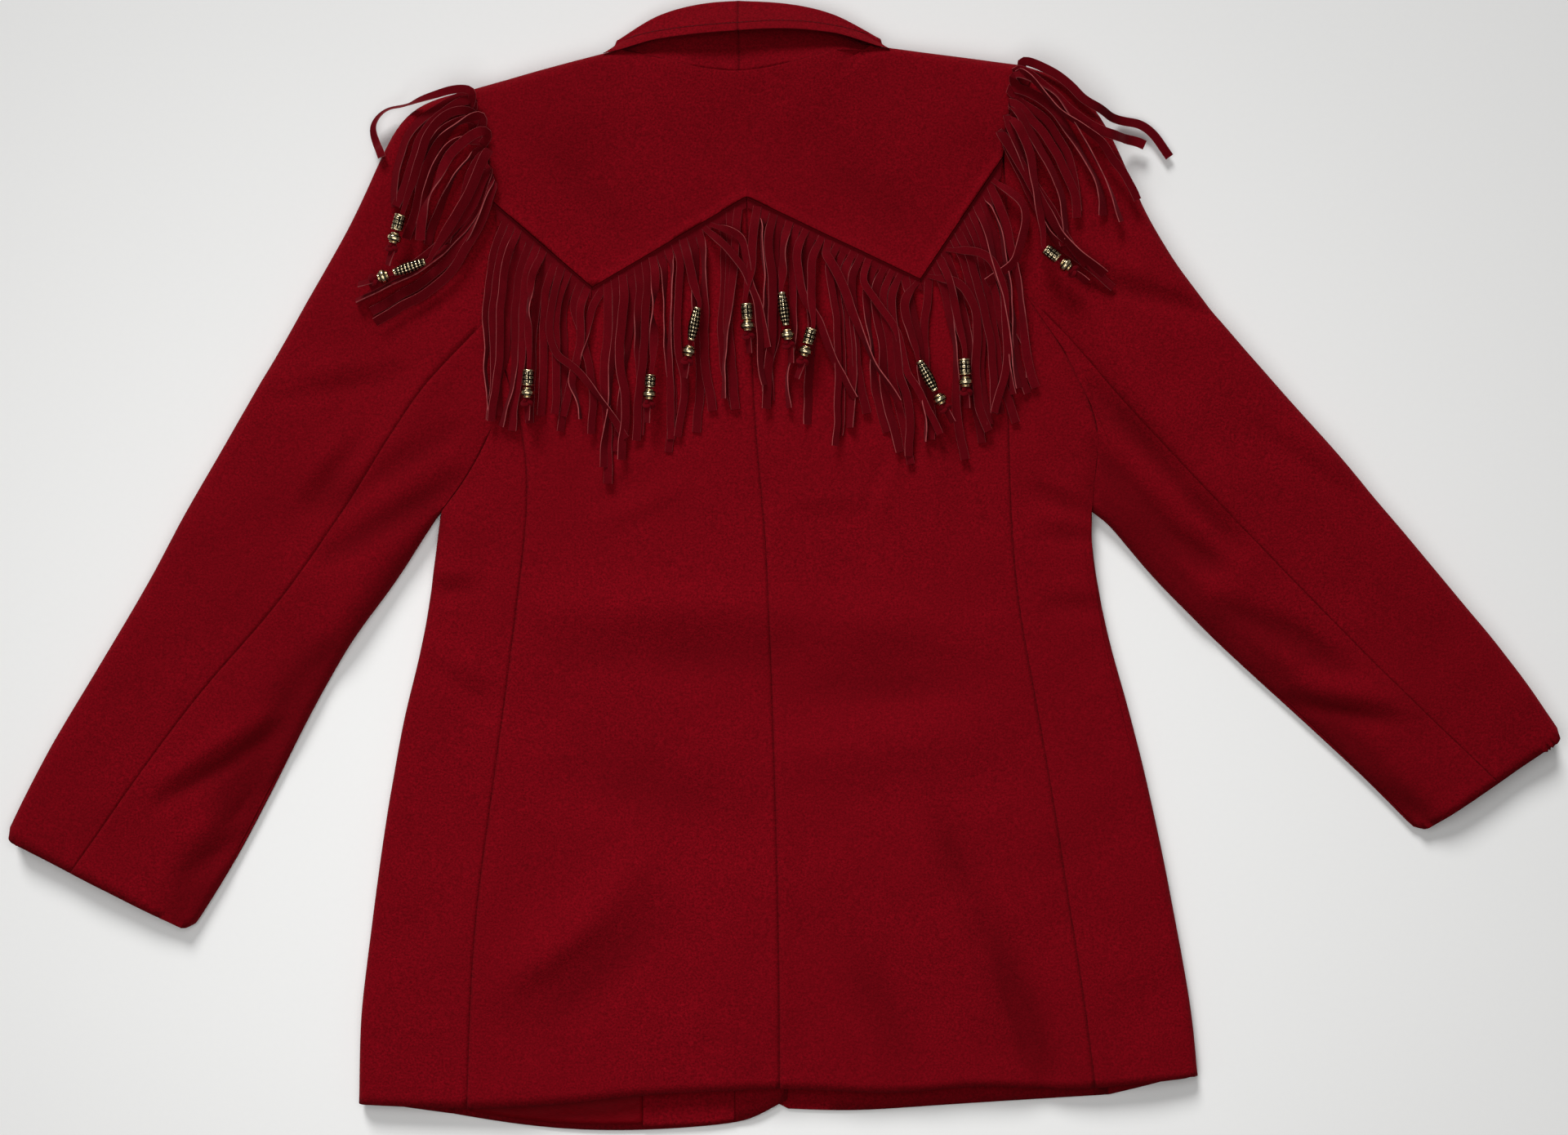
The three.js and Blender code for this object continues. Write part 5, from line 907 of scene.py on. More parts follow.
class ClothSurface:
    """Height of the wool below the fringe, found by looking straight down."""

    def __init__(self, pieces):
        self.trees = []
        for piece in pieces:
            mesh = piece.data
            faces = [tuple(face.vertices) for face in mesh.polygons]
            self.trees.append(BVHTree.FromPolygons([tuple(point) for point in points_of(mesh)], faces))

    def height(self, x, y):
        hits = (tree.ray_cast(Vector((x, y, SKY)), Vector((0, 0, -1)))[0] for tree in self.trees)
        return max((hit.z for hit in hits if hit), default=0.0)

    def clear(self, x, y, reach=CLEAR_PROBE):
        """Height that clears the wool at a point and just round it."""
        probes = ((0, 0), (reach, 0), (-reach, 0), (0, reach), (0, -reach))
        return max(self.height(x + dx, y + dy) for dx, dy in probes)


def line_lengths(points):
    steps = np.linalg.norm(np.diff(points, axis=0), axis=1)
    return np.concatenate([[0], np.cumsum(steps)])


def point_at(points, share):
    lengths = line_lengths(points)
    return np.array([np.interp(share * lengths[-1], lengths, points[:, axis]) for axis in range(points.shape[1])])


def offset_line(points, distance):
    """Line moved to its right by a distance, with its corners mitred."""
    runs = [unit(b - a) for a, b in zip(points, points[1:])]
    normals = [np.array([run[1], -run[0]]) for run in runs]
    moved = []
    for index, point in enumerate(points):
        before = normals[max(index - 1, 0)]
        after = normals[min(index, len(normals) - 1)]
        mitre = unit(before + after)
        moved.append(point + mitre * distance / (mitre @ after))
    return np.array(moved)


def band_edges(fringe):
    """The two long edges of the uncut band that a fringe's strips hang from."""
    far = HEADER_GAP + HEADER_WIDTH
    seam = np.array([plan(row) * MM for row in fringe["seam"]])
    edges = []
    for distance in (HEADER_GAP, far):
        line = offset_line(seam, fringe["away"] * distance)[fringe["from"]:fringe["to"] + 1]
        start_run, end_run = unit(line[1] - line[0]), unit(line[-1] - line[-2])
        slant = distance / far
        line[0] += start_run * (BAND_END_GAP + fringe["trimStart"] * MM * slant)
        line[-1] -= end_run * (BAND_END_GAP + fringe["trimEnd"] * MM * slant)
        edges.append(line)
    return edges


def band_point(edges, along, across):
    return mix(point_at(edges[0], along), point_at(edges[1], along), across)


def guided_path(fringe, share):
    rows = GUIDES[fringe["name"]]
    at = [row["at"] for row in rows]
    value = lambda column: np.interp(share, at, [row[column] for row in rows]) * MM
    return [np.array([value(name + "X"), value(name + "Y")]) for name in ("upper", "lower", "tip")]


def rounded(points, step):
    """Points close together on a smooth curve through a few."""
    padded = [2 * points[0] - points[1], *points, 2 * points[-1] - points[-2]]
    fine = []
    for before, start, end, after in zip(padded, padded[1:], padded[2:], padded[3:]):
        cells = max(int(np.linalg.norm(end - start) / step), 1)
        for cell in range(cells):
            t = cell / cells
            fine.append(0.5 * (
                2 * start + (end - before) * t + (2 * before - 5 * start + 4 * end - after) * t * t
                + (3 * start - before - 3 * end + after) * t ** 3))
    fine.append(points[-1])
    return np.array(fine)


def smoothed(values, passes=2):
    for _ in range(passes):
        values = np.convolve(np.pad(values, 1, mode="edge"), (0.25, 0.5, 0.25), mode="valid")
    return values


def bead_facts(number):
    """Centres of a bead and its ball, and the direction from bead to ball, from the frame."""
    facts = []
    for name in ("bead", "ball"):
        low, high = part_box(f"{name}_{number}")
        facts.append((Vector(low) + Vector(high)) / 2)
    bead, ball = facts
    return bead, ball, (ball - bead).normalized()


def aside(chance, spread):
    return np.array([chance.normal(0, spread), 0])


def strip_plan(fringe, slot, share, beaded, chance):
    """Layer of a strip, and the plan points that it falls through."""
    loose = next((row for row in LOOSE_STRIPS if row["fringe"] == fringe["name"] and row["slot"] == slot), None)
    layer = (slot + fringe["firstLayer"]) % LAYERS
    path = guided_path(fringe, share)
    if loose:
        layer = loose["layer"]
        path = [np.array(point) * MM for point in loose["path"]]
    if beaded:
        return LAYERS + 1, path[:1]
    run = unit(path[-1] - path[-2])
    path[-1] = path[-1] + run * chance.normal(0, TIP_LENGTHS) + aside(chance, TIP_ASIDE)
    path[-2] = path[-2] + aside(chance, LOWER_ASIDE)
    middle = mix(path[-2], path[-1], 0.5) + aside(chance, MIDDLE_ASIDE)
    return layer, [*path[:-1], middle, path[-1]]


def strip_start(fringe, edges, share, first, chance):
    """How a strip leaves its band: its first plan points, its lean, and the layers that a curl adds."""
    lip = band_point(edges, share, 1)
    toward_path = unit(first - lip)
    square = unit(lip - band_point(edges, share, 0))
    lean = max(toward_path @ square, LEAST_LEAN)
    root = lip - toward_path * STRIP_ROOT
    if not fringe["loop"] or chance.uniform() >= LOOPED_SHARE:
        return [root, lip + toward_path * STRIP_START], lean, 0
    over = fringe["loop"] * MM * chance.uniform(*LOOP_SPREAD)
    crest = lip - square * (HEADER_WIDTH + over) + np.array([0, chance.uniform(*LOOP_RISE) * MM])
    climb = mix(lip, crest, LOOP_CLIMB) - np.array([0, LOOP_SAG])
    fall = mix(crest, first, LOOP_FALL) + np.array([0, 2 * LOOP_SAG])
    return [root, climb, crest, fall], lean, 1


def strip_turns(along, chance):
    """How far a strip is turned about its run: mostly flat, or on edge somewhere."""
    turn = np.full(len(along), chance.normal(0, LIE_SPREAD))
    if chance.uniform() >= EDGE_ON_SHARE:
        return turn + chance.normal(0, SLOW_TURN) * along
    centre, reach = chance.uniform(*EDGE_ON_PLACE), chance.uniform(*EDGE_ON_REACH)
    most = chance.choice([-1, 1]) * chance.uniform(*EDGE_ON_TURN)
    return turn + most * np.exp(-(((along - centre) / reach) ** 2))


def strip_line(fringe, slot, count, edges, surface, chance):
    """Points, turns and widths of one strip, from inside its band to its tip."""
    settings = bpy.context.scene.blazer_fringe
    share = mix(BAND_MARGIN, 1 - BAND_MARGIN, (slot + 0.5) / count)
    names = [(row["fringe"], row["slot"]) for row in BEADED]
    here = (fringe["name"], slot)
    number = names.index(here) + 1 if here in names else 0
    layer, path = strip_plan(fringe, slot, share, number, chance)
    start, lean, curled = strip_start(fringe, edges, share, path[0], chance)
    if number:
        bead, ball, direction = bead_facts(number)
        bead_end = bead - direction * (BEAD_HALF[BEADED[number - 1]["kind"]] * MM + BEAD_CLEAR)
        path = [*path, np.array(bead_end[:2])]
    line = rounded([*start, *path], PLAN_STEP)
    line[1:-1] = np.column_stack([smoothed(line[:, axis], SOFT_BENDS) for axis in (0, 1)])[1:-1]
    lengths = line_lengths(line)
    along = lengths / lengths[-1]
    rise = smooth_step(STRIP_ROOT, STRIP_ROOT + STRIP_START, lengths)
    flush = surface.clear(*band_point(edges, share, 0.7), BAND_PROBE)
    base = np.array([surface.clear(x, y) for x, y in line])
    base = np.where(lengths < STRIP_ROOT + 1 * MM, flush, base)
    droop = 1 - DROOP * smooth_step(0.5, 1.0, along) * chance.uniform(0, 1)
    stack = HEADER_LIFT + HEADER_THICKNESS / 2
    height = smoothed(base + stack + (layer + curled) * settings.layer_rise * rise * droop)
    turn = strip_turns(along, chance) * rise
    height = height + np.abs(np.sin(turn)) * settings.strip_width * EDGE_ON_LIFT
    width = mix(lean, chance.uniform(*WIDTH_SPREAD), rise)
    points = np.column_stack([line, height])
    if not number:
        return points, turn, width
    level = smooth_step(0.55, 1.0, along)
    points[:, 2] = mix(points[:, 2], bead_end.z, level)
    width = mix(width, CORD_SHARE, smooth_step(0.7, 1.0, along))
    ball_end = ball + direction * (BEAD_HALF["ball"] * MM + BALL_CLEAR)
    knot = ball_end + direction * KNOT_BELOW
    tail = knot + direction * TAIL_LENGTH - Vector((0, 0, TAIL_SINK))
    threaded = [bead, ball, ball_end, knot, knot.lerp(tail, 0.4), tail]
    widths = [CORD_SHARE, CORD_SHARE, CORD_SHARE, 0.7, 0.8, 0.95]
    points = np.vstack([points, [tuple(point) for point in threaded]])
    return points, np.append(turn * (1 - level), [0, 0, 0, 0.3, 0.6, 0.9]), np.append(width, widths)


def strip_curves(name, lines):
    """Curve object with one spline for each strip."""
    curve = bpy.data.curves.new(name, "CURVE")
    curve.dimensions = "3D"
    for points, turn, width in lines:
        spline = curve.splines.new("POLY")
        spline.points.add(len(points) - 1)
        for point, place, angle, share in zip(spline.points, points, turn, width):
            point.co = (*place, 1)
            point.tilt = angle
            point.radius = share
    return add_object(name, curve)


def strip_tree():
    """Geometry Nodes that sweep flat strips with cut edges along curves."""
    settings = bpy.context.scene.blazer_fringe
    tree = GeometryTree("Suede strips", {
        "Width": settings.strip_width, "Thickness": settings.strip_thickness, "Step": settings.step,
        "Sway": settings.sway, "Edge": EDGE_ROUND, "Seed": settings.seed})
    given, node, reckon = tree.given, tree.node, tree.math
    tone = node("FunctionNodeRandomValue", {"Seed": given["Seed"]}, data_type="FLOAT")
    toned = node("GeometryNodeStoreNamedAttribute", {
        "Name": "tone", "Geometry": given["Geometry"], "Value": tone.outputs[1],
    }, data_type="FLOAT", domain="CURVE")
    kind = node("GeometryNodeCurveSplineType", {"Curve": toned.outputs[0]}, spline_type="CATMULL_ROM")
    even = node("GeometryNodeResampleCurve", {"Curve": kind.outputs[0], "Length": given["Step"]}, mode="LENGTH")
    wander = node("ShaderNodeTexNoise", {"Scale": WANDER_SCALE, "Detail": 1.0}, noise_dimensions="3D")
    centred = node("ShaderNodeVectorMath", {0: wander.outputs["Color"], 1: (0.5, 0.5, 0.5)}, operation="SUBTRACT")
    wide = reckon("MULTIPLY", given["Sway"], WANDER_ACROSS)
    across = node("ShaderNodeCombineXYZ", {"X": wide, "Y": wide, "Z": reckon("MULTIPLY", given["Sway"], WANDER_UP)})
    spread = node("ShaderNodeVectorMath", {0: centred.outputs[0], 1: across.outputs[0]}, operation="MULTIPLY")
    along = node("GeometryNodeSplineParameter").outputs["Factor"]
    freed = reckon("MINIMUM", reckon("MULTIPLY", along, WANDER_GROWS), 1.0)
    free = node("ShaderNodeVectorMath", {0: spread.outputs[0], "Scale": freed}, operation="SCALE")
    moved = node("GeometryNodeSetPosition", {"Geometry": even.outputs[0], "Offset": free.outputs[0]})
    facing = node("GeometryNodeSetCurveNormal", {"Curve": moved.outputs[0]}, mode="Z_UP")
    profile = node("GeometryNodeCurvePrimitiveQuadrilateral", {"Width": given["Width"], "Height": given["Thickness"]})
    softened = node("GeometryNodeFilletCurve", {
        "Curve": profile.outputs[0], "Radius": given["Edge"], "Count": 1}, mode="POLY")
    place = node("ShaderNodeSeparateXYZ", {0: node("GeometryNodeInputPosition").outputs[0]})
    half = reckon("SUBTRACT", reckon("MULTIPLY", given["Width"], 0.5), EDGE_DEPTH)
    at_edge = reckon("GREATER_THAN", reckon("ABSOLUTE", place.outputs["X"], 0.0), half)
    edged = node("GeometryNodeStoreNamedAttribute", {
        "Name": "cut", "Geometry": softened.outputs[0], "Value": at_edge,
    }, data_type="FLOAT", domain="POINT")
    swept = node("GeometryNodeCurveToMesh", {
        "Curve": facing.outputs[0], "Profile Curve": edged.outputs[0], "Fill Caps": True})
    if "Scale" in swept.inputs:
        tree.feed(swept.inputs["Scale"], node("GeometryNodeInputRadius").outputs[0])
    return tree.finish(swept.outputs[0], material("brushed_suede", suede_material))


def run_tree(piece, tree, values):
    """Plain mesh that a tree makes of an object. Inputs are set by their sockets' identifiers."""
    modifier = piece.modifiers.new(tree.name, "NODES")
    modifier.node_group = tree
    for item in tree.interface.items_tree:
        if item.item_type == "SOCKET" and item.in_out == "INPUT" and item.name in values:
            modifier[item.identifier] = values[item.name]
    return evaluated_mesh(piece)


def slab(rows, thickness):
    """Points and faces of a closed slab below a grid of upper points."""
    upper = np.array(rows)
    lower = upper - np.array([0, 0, thickness])
    count, width = upper.shape[:2]
    points = np.vstack([upper.reshape(-1, 3), lower.reshape(-1, 3)])
    under = count * width
    faces = []
    for row in range(count - 1):
        for column in range(width - 1):
            a = row * width + column
            faces.append((a, a + 1, a + width + 1, a + width))
            faces.append((under + a, under + a + width, under + a + width + 1, under + a + 1))
    rim = [row * width for row in range(count - 1, 0, -1)] + list(range(width - 1))
    rim += [row * width + width - 1 for row in range(count - 1)]
    rim += [(count - 1) * width + column for column in range(width - 1, 0, -1)]
    for here, after in zip(rim, rim[1:] + rim[:1]):
        faces.append((after, here, under + here, under + after))
    return points, faces


def band_slab(edges, surface):
    """The uncut band, laid on the wool below the yoke's edge."""
    length = line_lengths(edges[1])[-1]
    cells = max(int(length / BAND_CELL), 2)
    rows = []
    for cell in range(cells + 1):
        row = []
        for column in range(BAND_CELLS_ACROSS + 1):
            x, y = band_point(edges, cell / cells, column / BAND_CELLS_ACROSS)
            row.append((x, y, surface.clear(x, y, BAND_PROBE) + HEADER_LIFT + HEADER_THICKNESS))
        rows.append(row)
    return slab(rows, HEADER_THICKNESS)


KNOT_RINGS = 44
KNOT_SIDES = 8
KNOT_SIZE = 1.16 * MM
KNOT_TUBE = 1.6 * MM
KNOT_FLAT = 0.7  # thickness of the rolled strip in the knot as a share of its width
KNOT_CENTRE = 3.2 * MM  # below the ball's end
KNOT_TONE = 0.35
BAND_TONE = 0.6
STRIP_SHARP = math.radians(40)


def ring_faces(rings, sides):
    """Faces of a tube of rings whose last ring joins its first."""
    faces = []
    for ring in range(rings):
        here, there = ring * sides, (ring + 1) % rings * sides
        for corner in range(sides):
            after = (corner + 1) % sides
            faces.append((here + corner, here + after, there + after, there + corner))
    return faces


def axes_of(direction):
    """Three directions square to each other: along a bore, level, and up."""
    along = np.array(direction)
    side = unit(np.cross(along, (0, 0, 1)))
    return along, side, np.cross(side, along)


def knot_tube(centre, direction):
    """Points and faces of an overhand knot pulled tight below a ball."""
    along, side, up = axes_of(direction)
    turns = np.linspace(0, 2 * math.pi, KNOT_RINGS, endpoint=False)
    level = np.sin(turns) + 2 * np.sin(2 * turns)
    height = 0.75 * (np.cos(turns) - 2 * np.cos(2 * turns))
    track = np.column_stack([level, height, -1.1 * np.sin(3 * turns)])
    centres = np.array(centre) + KNOT_SIZE * (track @ np.array([side, along, up]))
    points = []
    for index, middle in enumerate(centres):
        run = unit(centres[(index + 1) % KNOT_RINGS] - centres[index - 1])
        first = unit(np.cross(run, up + 0.01 * side))
        second = np.cross(run, first)
        for corner in range(KNOT_SIDES):
            angle = 2 * math.pi * corner / KNOT_SIDES
            points.append(middle + KNOT_TUBE * (math.cos(angle) * first + KNOT_FLAT * math.sin(angle) * second))
    return np.array(points), ring_faces(KNOT_RINGS, KNOT_SIDES)


def joined(mesh, extras):
    """Mesh with further lumps of points and faces. Attributes of the new points are set apart."""
    work = bmesh.new()
    work.from_mesh(mesh)
    tone = work.verts.layers.float.get("tone") or work.verts.layers.float.new("tone")
    cut = work.verts.layers.float.get("cut") or work.verts.layers.float.new("cut")
    for points, faces, shade in extras:
        lump = bmesh.new()
        made = [lump.verts.new(point) for point in points]
        for face in faces:
            lump.faces.new([made[index] for index in face])
        bmesh.ops.recalc_face_normals(lump, faces=lump.faces)
        copies = {vertex: work.verts.new(vertex.co) for vertex in lump.verts}
        for vertex in copies.values():
            vertex[tone] = shade
            vertex[cut] = 0.0
        for face in lump.faces:
            work.faces.new([copies[vertex] for vertex in face.verts])
        lump.free()
    work.to_mesh(mesh)
    work.free()


def fringe_piece(fringe, surface, tree):
    """One fringe: its band, its strips and the knots of those that carry beads."""
    seed = bpy.context.scene.blazer_fringe.seed + FRINGES.index(fringe)
    name = "fringe_" + fringe["name"]
    chance = np.random.default_rng(seed)
    edges = band_edges(fringe)
    count = int(line_lengths(edges[0])[-1] / (fringe["pitch"] * MM))
    lines = [strip_line(fringe, slot, count, edges, surface, chance) for slot in range(count)]
    curves = strip_curves(name + "_paths", lines)
    mesh = run_tree(curves, tree, {"Width": fringe["width"] * MM, "Seed": seed})
    bpy.data.objects.remove(curves)
    extras = [(*band_slab(edges, surface), BAND_TONE)]
    for number, row in enumerate(BEADED, start=1):
        if row["fringe"] == fringe["name"]:
            _, ball, direction = bead_facts(number)
            centre = ball + direction * (BEAD_HALF["ball"] * MM + KNOT_CENTRE)
            extras.append((*knot_tube(centre, direction), KNOT_TONE))
    joined(mesh, extras)
    mesh.name = name + "_suede"
    shade_smooth(mesh)
    mesh.set_sharp_from_angle(angle=STRIP_SHARP)
    piece = add_object(name + "_suede", mesh)
    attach(piece, "root")
    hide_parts(name)
    return piece


# ---------------------------------------------------------------- beads

BEAD_AROUND = 48
BEAD_HALF = {"cylinder": 5.8, "short": 4.6, "long": 12.0, "ball": 3.8}
BORE = 2.2
BORE_RIM = 0.3
BEAD_COLLAR = 1.3  # plain stretch at either end of a bead
PANES_ROUND = 7  # engraved panes round a bead
# Outline of each kind of bead: distance from the axis, and along it.
BEAD_OUTLINES = {
    "cylinder": table("radius along", [
        (2.2, -5.8), (4.2, -5.8), (4.55, -5.5), (4.55, -4.9), (4.0, -4.7), (4.25, -4.4), (4.35, 0), (4.25, 4.4),
        (4.0, 4.7), (4.55, 4.9), (4.55, 5.5), (4.2, 5.8), (2.2, 5.8)]),
    "short": table("radius along", [
        (2.2, -4.6), (3.9, -4.6), (4.15, -4.3), (4.15, -3.8), (3.7, -3.6), (3.95, -3.3), (4.0, 0), (3.95, 3.3),
        (3.7, 3.6), (4.15, 3.8), (4.15, 4.3), (3.9, 4.6), (2.2, 4.6)]),
    "long": table("radius along", [
        (2.2, -12), (2.9, -12), (3.2, -11.6), (3.2, -10.9), (2.8, -10.6), (3.3, -8), (3.9, -3), (4.15, 0.5), (4.0, 4),
        (3.5, 7.5), (2.9, 10), (2.6, 10.6), (3.0, 10.9), (3.0, 11.6), (2.7, 12), (2.2, 12)]),
    "ball": table("radius along", [
        (2.2, -3.8), (3.0, -3.8), (3.4, -3.5), (3.4, -3.1), (3.1, -2.9), (4.2, -2.3), (5.0, -1.2), (5.25, 0),
        (5.0, 1.2), (4.2, 2.3), (3.1, 2.9), (3.4, 3.1), (3.4, 3.5), (3.0, 3.8), (2.2, 3.8)]),
}
OUTLINE_STEP = 0.35


def engraved(kind, around, along):
    """How deep the engraving is, from 0 on the high places to 1, at a point of a bead."""
    half = BEAD_HALF[kind]
    plain = half - BEAD_COLLAR
    inside = 1.0 if abs(along) < plain else 0.0
    if kind == "ball":
        return 0.8 * math.exp(-((abs(along) - 1.7) / 0.35) ** 2)
    if kind == "long":
        scales = math.sin(5 * around + 1.15 * along) * math.sin(5 * around - 1.15 * along)
        return inside * (1 - smooth_step(-0.25, 0.25, scales))
    rows = 3 if kind == "cylinder" else 2
    up = abs((along + plain) * rows / (2 * plain) % 1 - 0.5) * 2
    round_share = abs(around * PANES_ROUND / (2 * math.pi) % 1 - 0.5) * 2
    groove = max(smooth_step(0.62, 0.86, up), smooth_step(0.66, 0.9, round_share))
    dot = 1 - smooth_step(0.16, 0.34, math.hypot(up, round_share))
    return inside * max(groove, dot)


def bead_mesh(name, kind, centre, direction):
    """Bead turned round its bore, with its engraving sunk in."""
    beads = bpy.context.scene.blazer_beads
    outline = np.array([(row["radius"], row["along"]) for row in BEAD_OUTLINES[kind]])
    lengths = line_lengths(outline)
    rings = max(int(lengths[-1] / OUTLINE_STEP), 12)
    profile = [point_at(outline, ring / rings) for ring in range(rings + 1)]
    along, side, up = axes_of(direction)
    points, recess = [], []
    for radius, offset in profile:
        for step in range(BEAD_AROUND):
            around = 2 * math.pi * step / BEAD_AROUND
            outside = radius > BORE + BORE_RIM
            deep = engraved(kind, around, offset) if outside else 1.0
            reach = radius * MM - (deep * beads.engraving if outside else 0)
            outward = math.cos(around) * side + math.sin(around) * up
            points.append(np.array(centre) + along * offset * MM + reach * outward)
            recess.append(deep)
    mesh = bpy.data.meshes.new(name)
    mesh.from_pydata([tuple(point) for point in points], [], ring_faces(rings + 1, BEAD_AROUND))
    set_attribute(mesh, "recess", recess)
    work = bmesh.new()
    work.from_mesh(mesh)
    bmesh.ops.recalc_face_normals(work, faces=work.faces)
    work.to_mesh(mesh)
    work.free()
    shade_smooth(mesh)
    mesh.set_sharp_from_angle(angle=RIM_ANGLE)
    mesh.materials.append(material("antique_metal", metal_material))
    return mesh


# ---------------------------------------------------------------- operators

CLOTH_PIECES = []


def make_cloth(names):
    rows = [row for row in CUTS if row["node"] in names]
    if len(rows) != len(names):
        raise RuntimeError("a piece of wool has no row in the table of cuts")
    for row in rows:
        piece = cloth_piece(row)
        CLOTH_PIECES.append(piece)
    return {"FINISHED"}


class ClothMaker:
    """What the operators for plain pieces of wool share."""

    nodes = ()

    def execute(self, context):
        return make_cloth(self.nodes)


class BLAZER_OT_back(ClothMaker, bpy.types.Operator):
    """The back yoke and the two back panels"""

    bl_idname = "blazer.back"
    bl_label = "Back yoke and panels"
    nodes = ("back_yoke", "back_left", "back_right")


class BLAZER_OT_sides(ClothMaker, bpy.types.Operator):
    """The side panels, folded round from the back to the front"""

    bl_idname = "blazer.sides"
    bl_label = "Side panels"
    nodes = ("side_left", "side_right")


class BLAZER_OT_sleeves(ClothMaker, bpy.types.Operator):
    """The two-piece sleeves"""

    bl_idname = "blazer.sleeves"
    bl_label = "Sleeves"
    nodes = ("top_sleeve_left", "under_sleeve_left", "top_sleeve_right", "under_sleeve_right")


class BLAZER_OT_fronts(ClothMaker, bpy.types.Operator):
    """The fronts and their lapels, face down"""

    bl_idname = "blazer.fronts"
    bl_label = "Fronts and lapels"
    nodes = ("front_left", "front_right", "lapel_left", "lapel_right")


class BLAZER_OT_collar(bpy.types.Operator):
    """The shawl collar round the back of the neck"""

    bl_idname = "blazer.collar"
    bl_label = "Collar"

    def execute(self, context):
        make_cloth(["collar_left", "collar_right"])
        stitch_row()
        return {"FINISHED"}


class BLAZER_OT_inside(bpy.types.Operator):
    """The facing and the satin lining that show below the back hem"""

    bl_idname = "blazer.inside"
    bl_label = "Facing and lining"

    def execute(self, context):
        make_cloth(["facing_left", "lining_left"])
        lining = bpy.data.objects["lining_left_wool"]
        lining.name = "lining_left_satin"
        lining.data.materials[0] = material("satin_lining", satin_material)
        return {"FINISHED"}


class BLAZER_OT_fringe(bpy.types.Operator):
    """The suede fringe of the yoke and the armholes"""

    bl_idname = "blazer.fringe"
    bl_label = "Suede fringe"

    def execute(self, context):
        upper = ("back", "side", "top_sleeve", "under_sleeve")
        below = [piece for piece in CLOTH_PIECES if piece.name.startswith(upper)]
        if not below:
            raise RuntimeError("the fringe needs the wool that it lies on")
        surface = ClothSurface(below)
        tree = strip_tree()
        for fringe in FRINGES:
            fringe_piece(fringe, surface, tree)
        return {"FINISHED"}


class BLAZER_OT_beads(bpy.types.Operator):
    """The engraved metal beads and balls on the strips"""

    bl_idname = "blazer.beads"
    bl_label = "Metal beads"

    def execute(self, context):
        for number, row in enumerate(BEADED, start=1):
            bead, ball, direction = bead_facts(number)
            for node, kind, centre in (("bead", row["kind"], bead), ("ball", "ball", ball)):
                name = f"{node}_{number}"
                piece = add_object(name + "_metal", bead_mesh(name + "_metal", kind, centre, direction))
                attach(piece, "root")
                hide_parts(name)
        return {"FINISHED"}


SENSOR = 36.0
FLOOR_HALF = 3.0
FLOOR_DROP = 0.3 * MM
KEY_FROM = (-0.40, 1.50, 0.92)
KEY_SPREAD = math.radians(20)
FILL_FROM = (-0.14, -0.10, 0.95)
FILL_SIZE = 0.9
SKY_STRENGTH = 0.12
SKY_COLOUR = (1.0, 0.99, 0.98, 1)
LENS_ABOVE = 12 * MM  # the camera stands this much higher, for the blazer's thickness


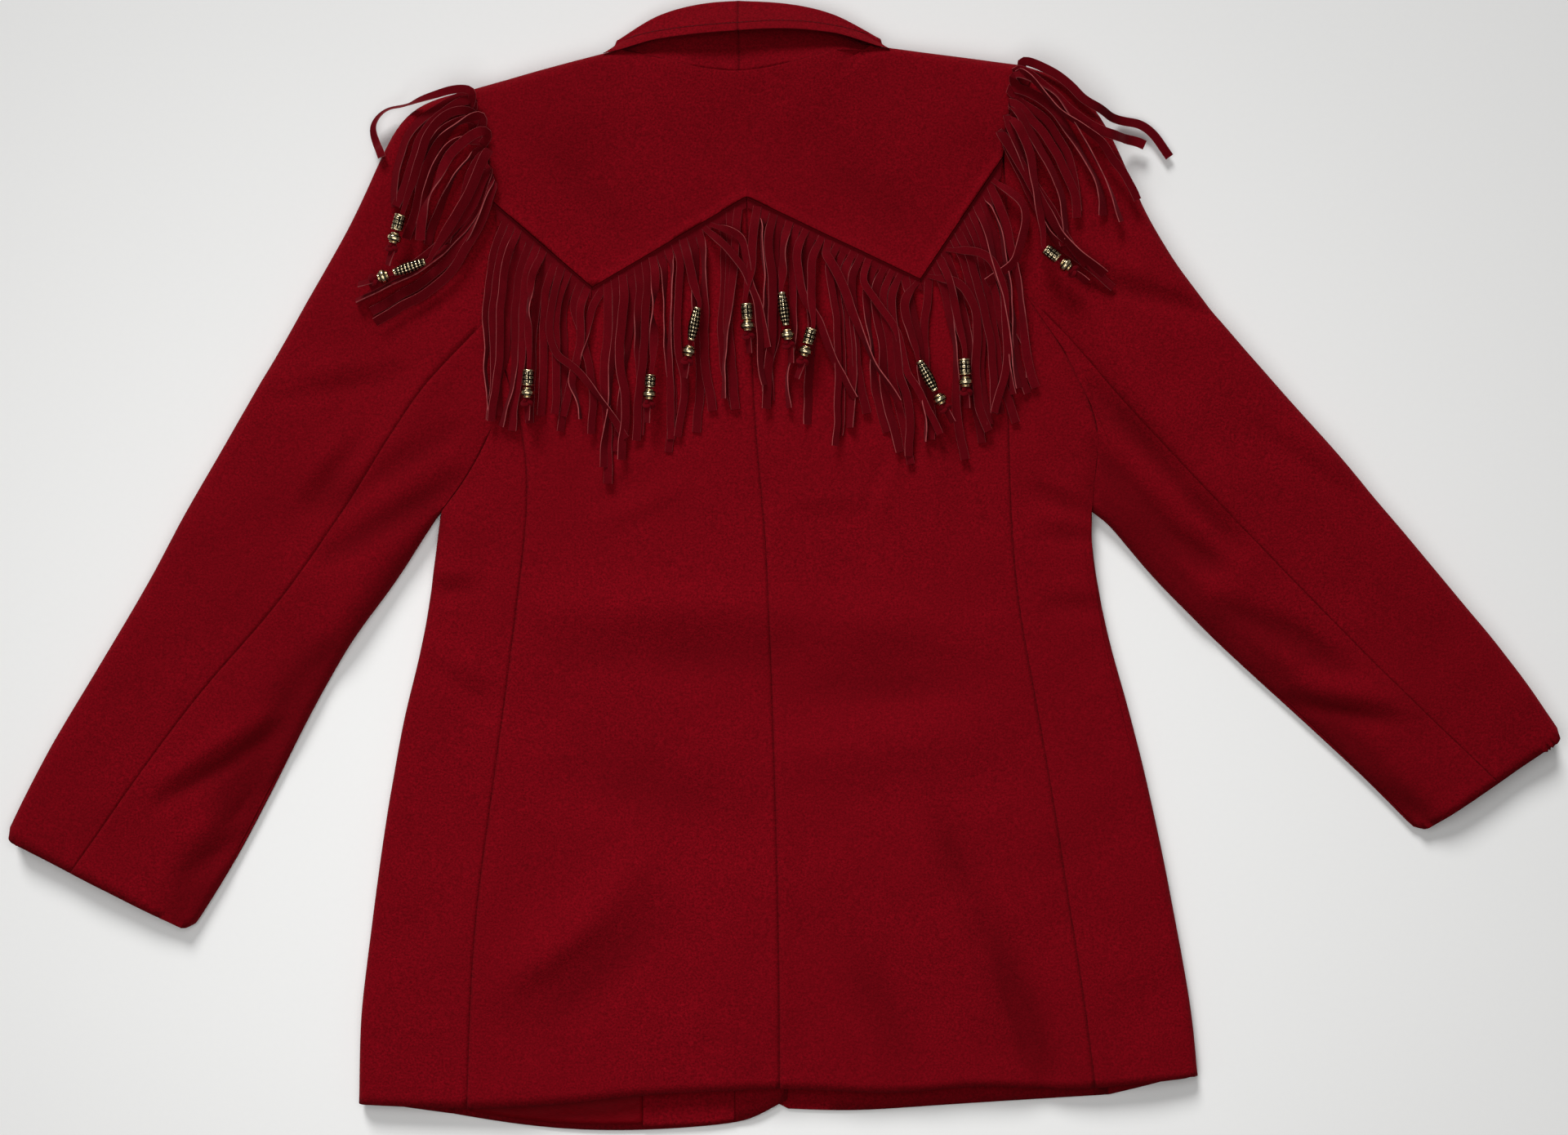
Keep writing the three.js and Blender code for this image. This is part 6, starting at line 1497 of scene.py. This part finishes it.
class BLAZER_OT_stage(bpy.types.Operator):
    """The floor, the lights and the camera"""

    bl_idname = "blazer.stage"
    bl_label = "Stage"

    def execute(self, context):
        stage = context.scene.blazer_stage
        low = CAD_BOX[0]
        mesh = bpy.data.meshes.new("floor")
        near, far, level = -FLOOR_HALF, FLOOR_HALF, low.z - FLOOR_DROP
        corners = [(near, near, level), (far, near, level), (far, far, level), (near, far, level)]
        mesh.from_pydata(corners, [], [(0, 1, 2, 3)])
        mesh.materials.append(material("floor_paper", floor_material))
        add_object("floor", mesh)
        key = bpy.data.lights.new("key", "SUN")
        key.angle = KEY_SPREAD
        fill = bpy.data.lights.new("fill", "AREA")
        fill.size = FILL_SIZE
        for lamp, power, place in ((key, stage.key_power, KEY_FROM), (fill, stage.fill_power, FILL_FROM)):
            lamp.energy = power
            light = bpy.data.objects.new(lamp.name, lamp)
            light.location = place
            light.rotation_euler = (-light.location).to_track_quat("-Z", "Y").to_euler()
            light.visible_camera = False
            context.scene.collection.objects.link(light)
        world = bpy.data.worlds.new("studio")
        world.use_nodes = True
        sky = world.node_tree.nodes["Background"].inputs
        sky["Color"].default_value = SKY_COLOUR
        sky["Strength"].default_value = SKY_STRENGTH
        context.scene.world = world
        lens = bpy.data.cameras.new("camera")
        lens.lens = stage.lens
        lens.sensor_width = SENSOR
        camera = bpy.data.objects.new("camera", lens)
        camera.location = (0, 0, stage.frame_width * stage.lens / SENSOR + LENS_ABOVE)
        context.scene.collection.objects.link(camera)
        context.scene.camera = camera
        context.scene.view_settings.view_transform = "Standard"
        return {"FINISHED"}


OPERATORS = (
    BLAZER_OT_stage, BLAZER_OT_back, BLAZER_OT_sides, BLAZER_OT_sleeves, BLAZER_OT_fronts, BLAZER_OT_collar,
    BLAZER_OT_inside, BLAZER_OT_fringe, BLAZER_OT_beads,
)
SETTINGS = {
    "blazer_wool": BlazerWool, "blazer_fringe": BlazerFringe, "blazer_beads": BlazerBeads, "blazer_stage": BlazerStage,
}


class BLAZER_PT_panel(bpy.types.Panel):
    """Lists the blazer's pieces in the order they are made"""

    bl_idname = "BLAZER_PT_panel"
    bl_label = "Western blazer"
    bl_space_type = "VIEW_3D"
    bl_region_type = "UI"
    bl_category = "Blazer"

    def draw(self, context):
        for name, group in SETTINGS.items():
            box = self.layout.box()
            for key in group.__annotations__:
                box.prop(getattr(context.scene, name), key)
        for operator in OPERATORS:
            self.layout.operator(operator.bl_idname)


CLASSES = (*SETTINGS.values(), *OPERATORS, BLAZER_PT_panel)


def register():
    for item in CLASSES:
        bpy.utils.register_class(item)
    for name, group in SETTINGS.items():
        setattr(bpy.types.Scene, name, bpy.props.PointerProperty(type=group))


def unregister():
    for name in SETTINGS:
        delattr(bpy.types.Scene, name)
    for item in reversed(CLASSES):
        bpy.utils.unregister_class(item)


def main():
    register()
    for operator in OPERATORS:
        group, name = operator.bl_idname.split(".")
        getattr(getattr(bpy.ops, group), name)()


if __name__ == "__main__":
    main()
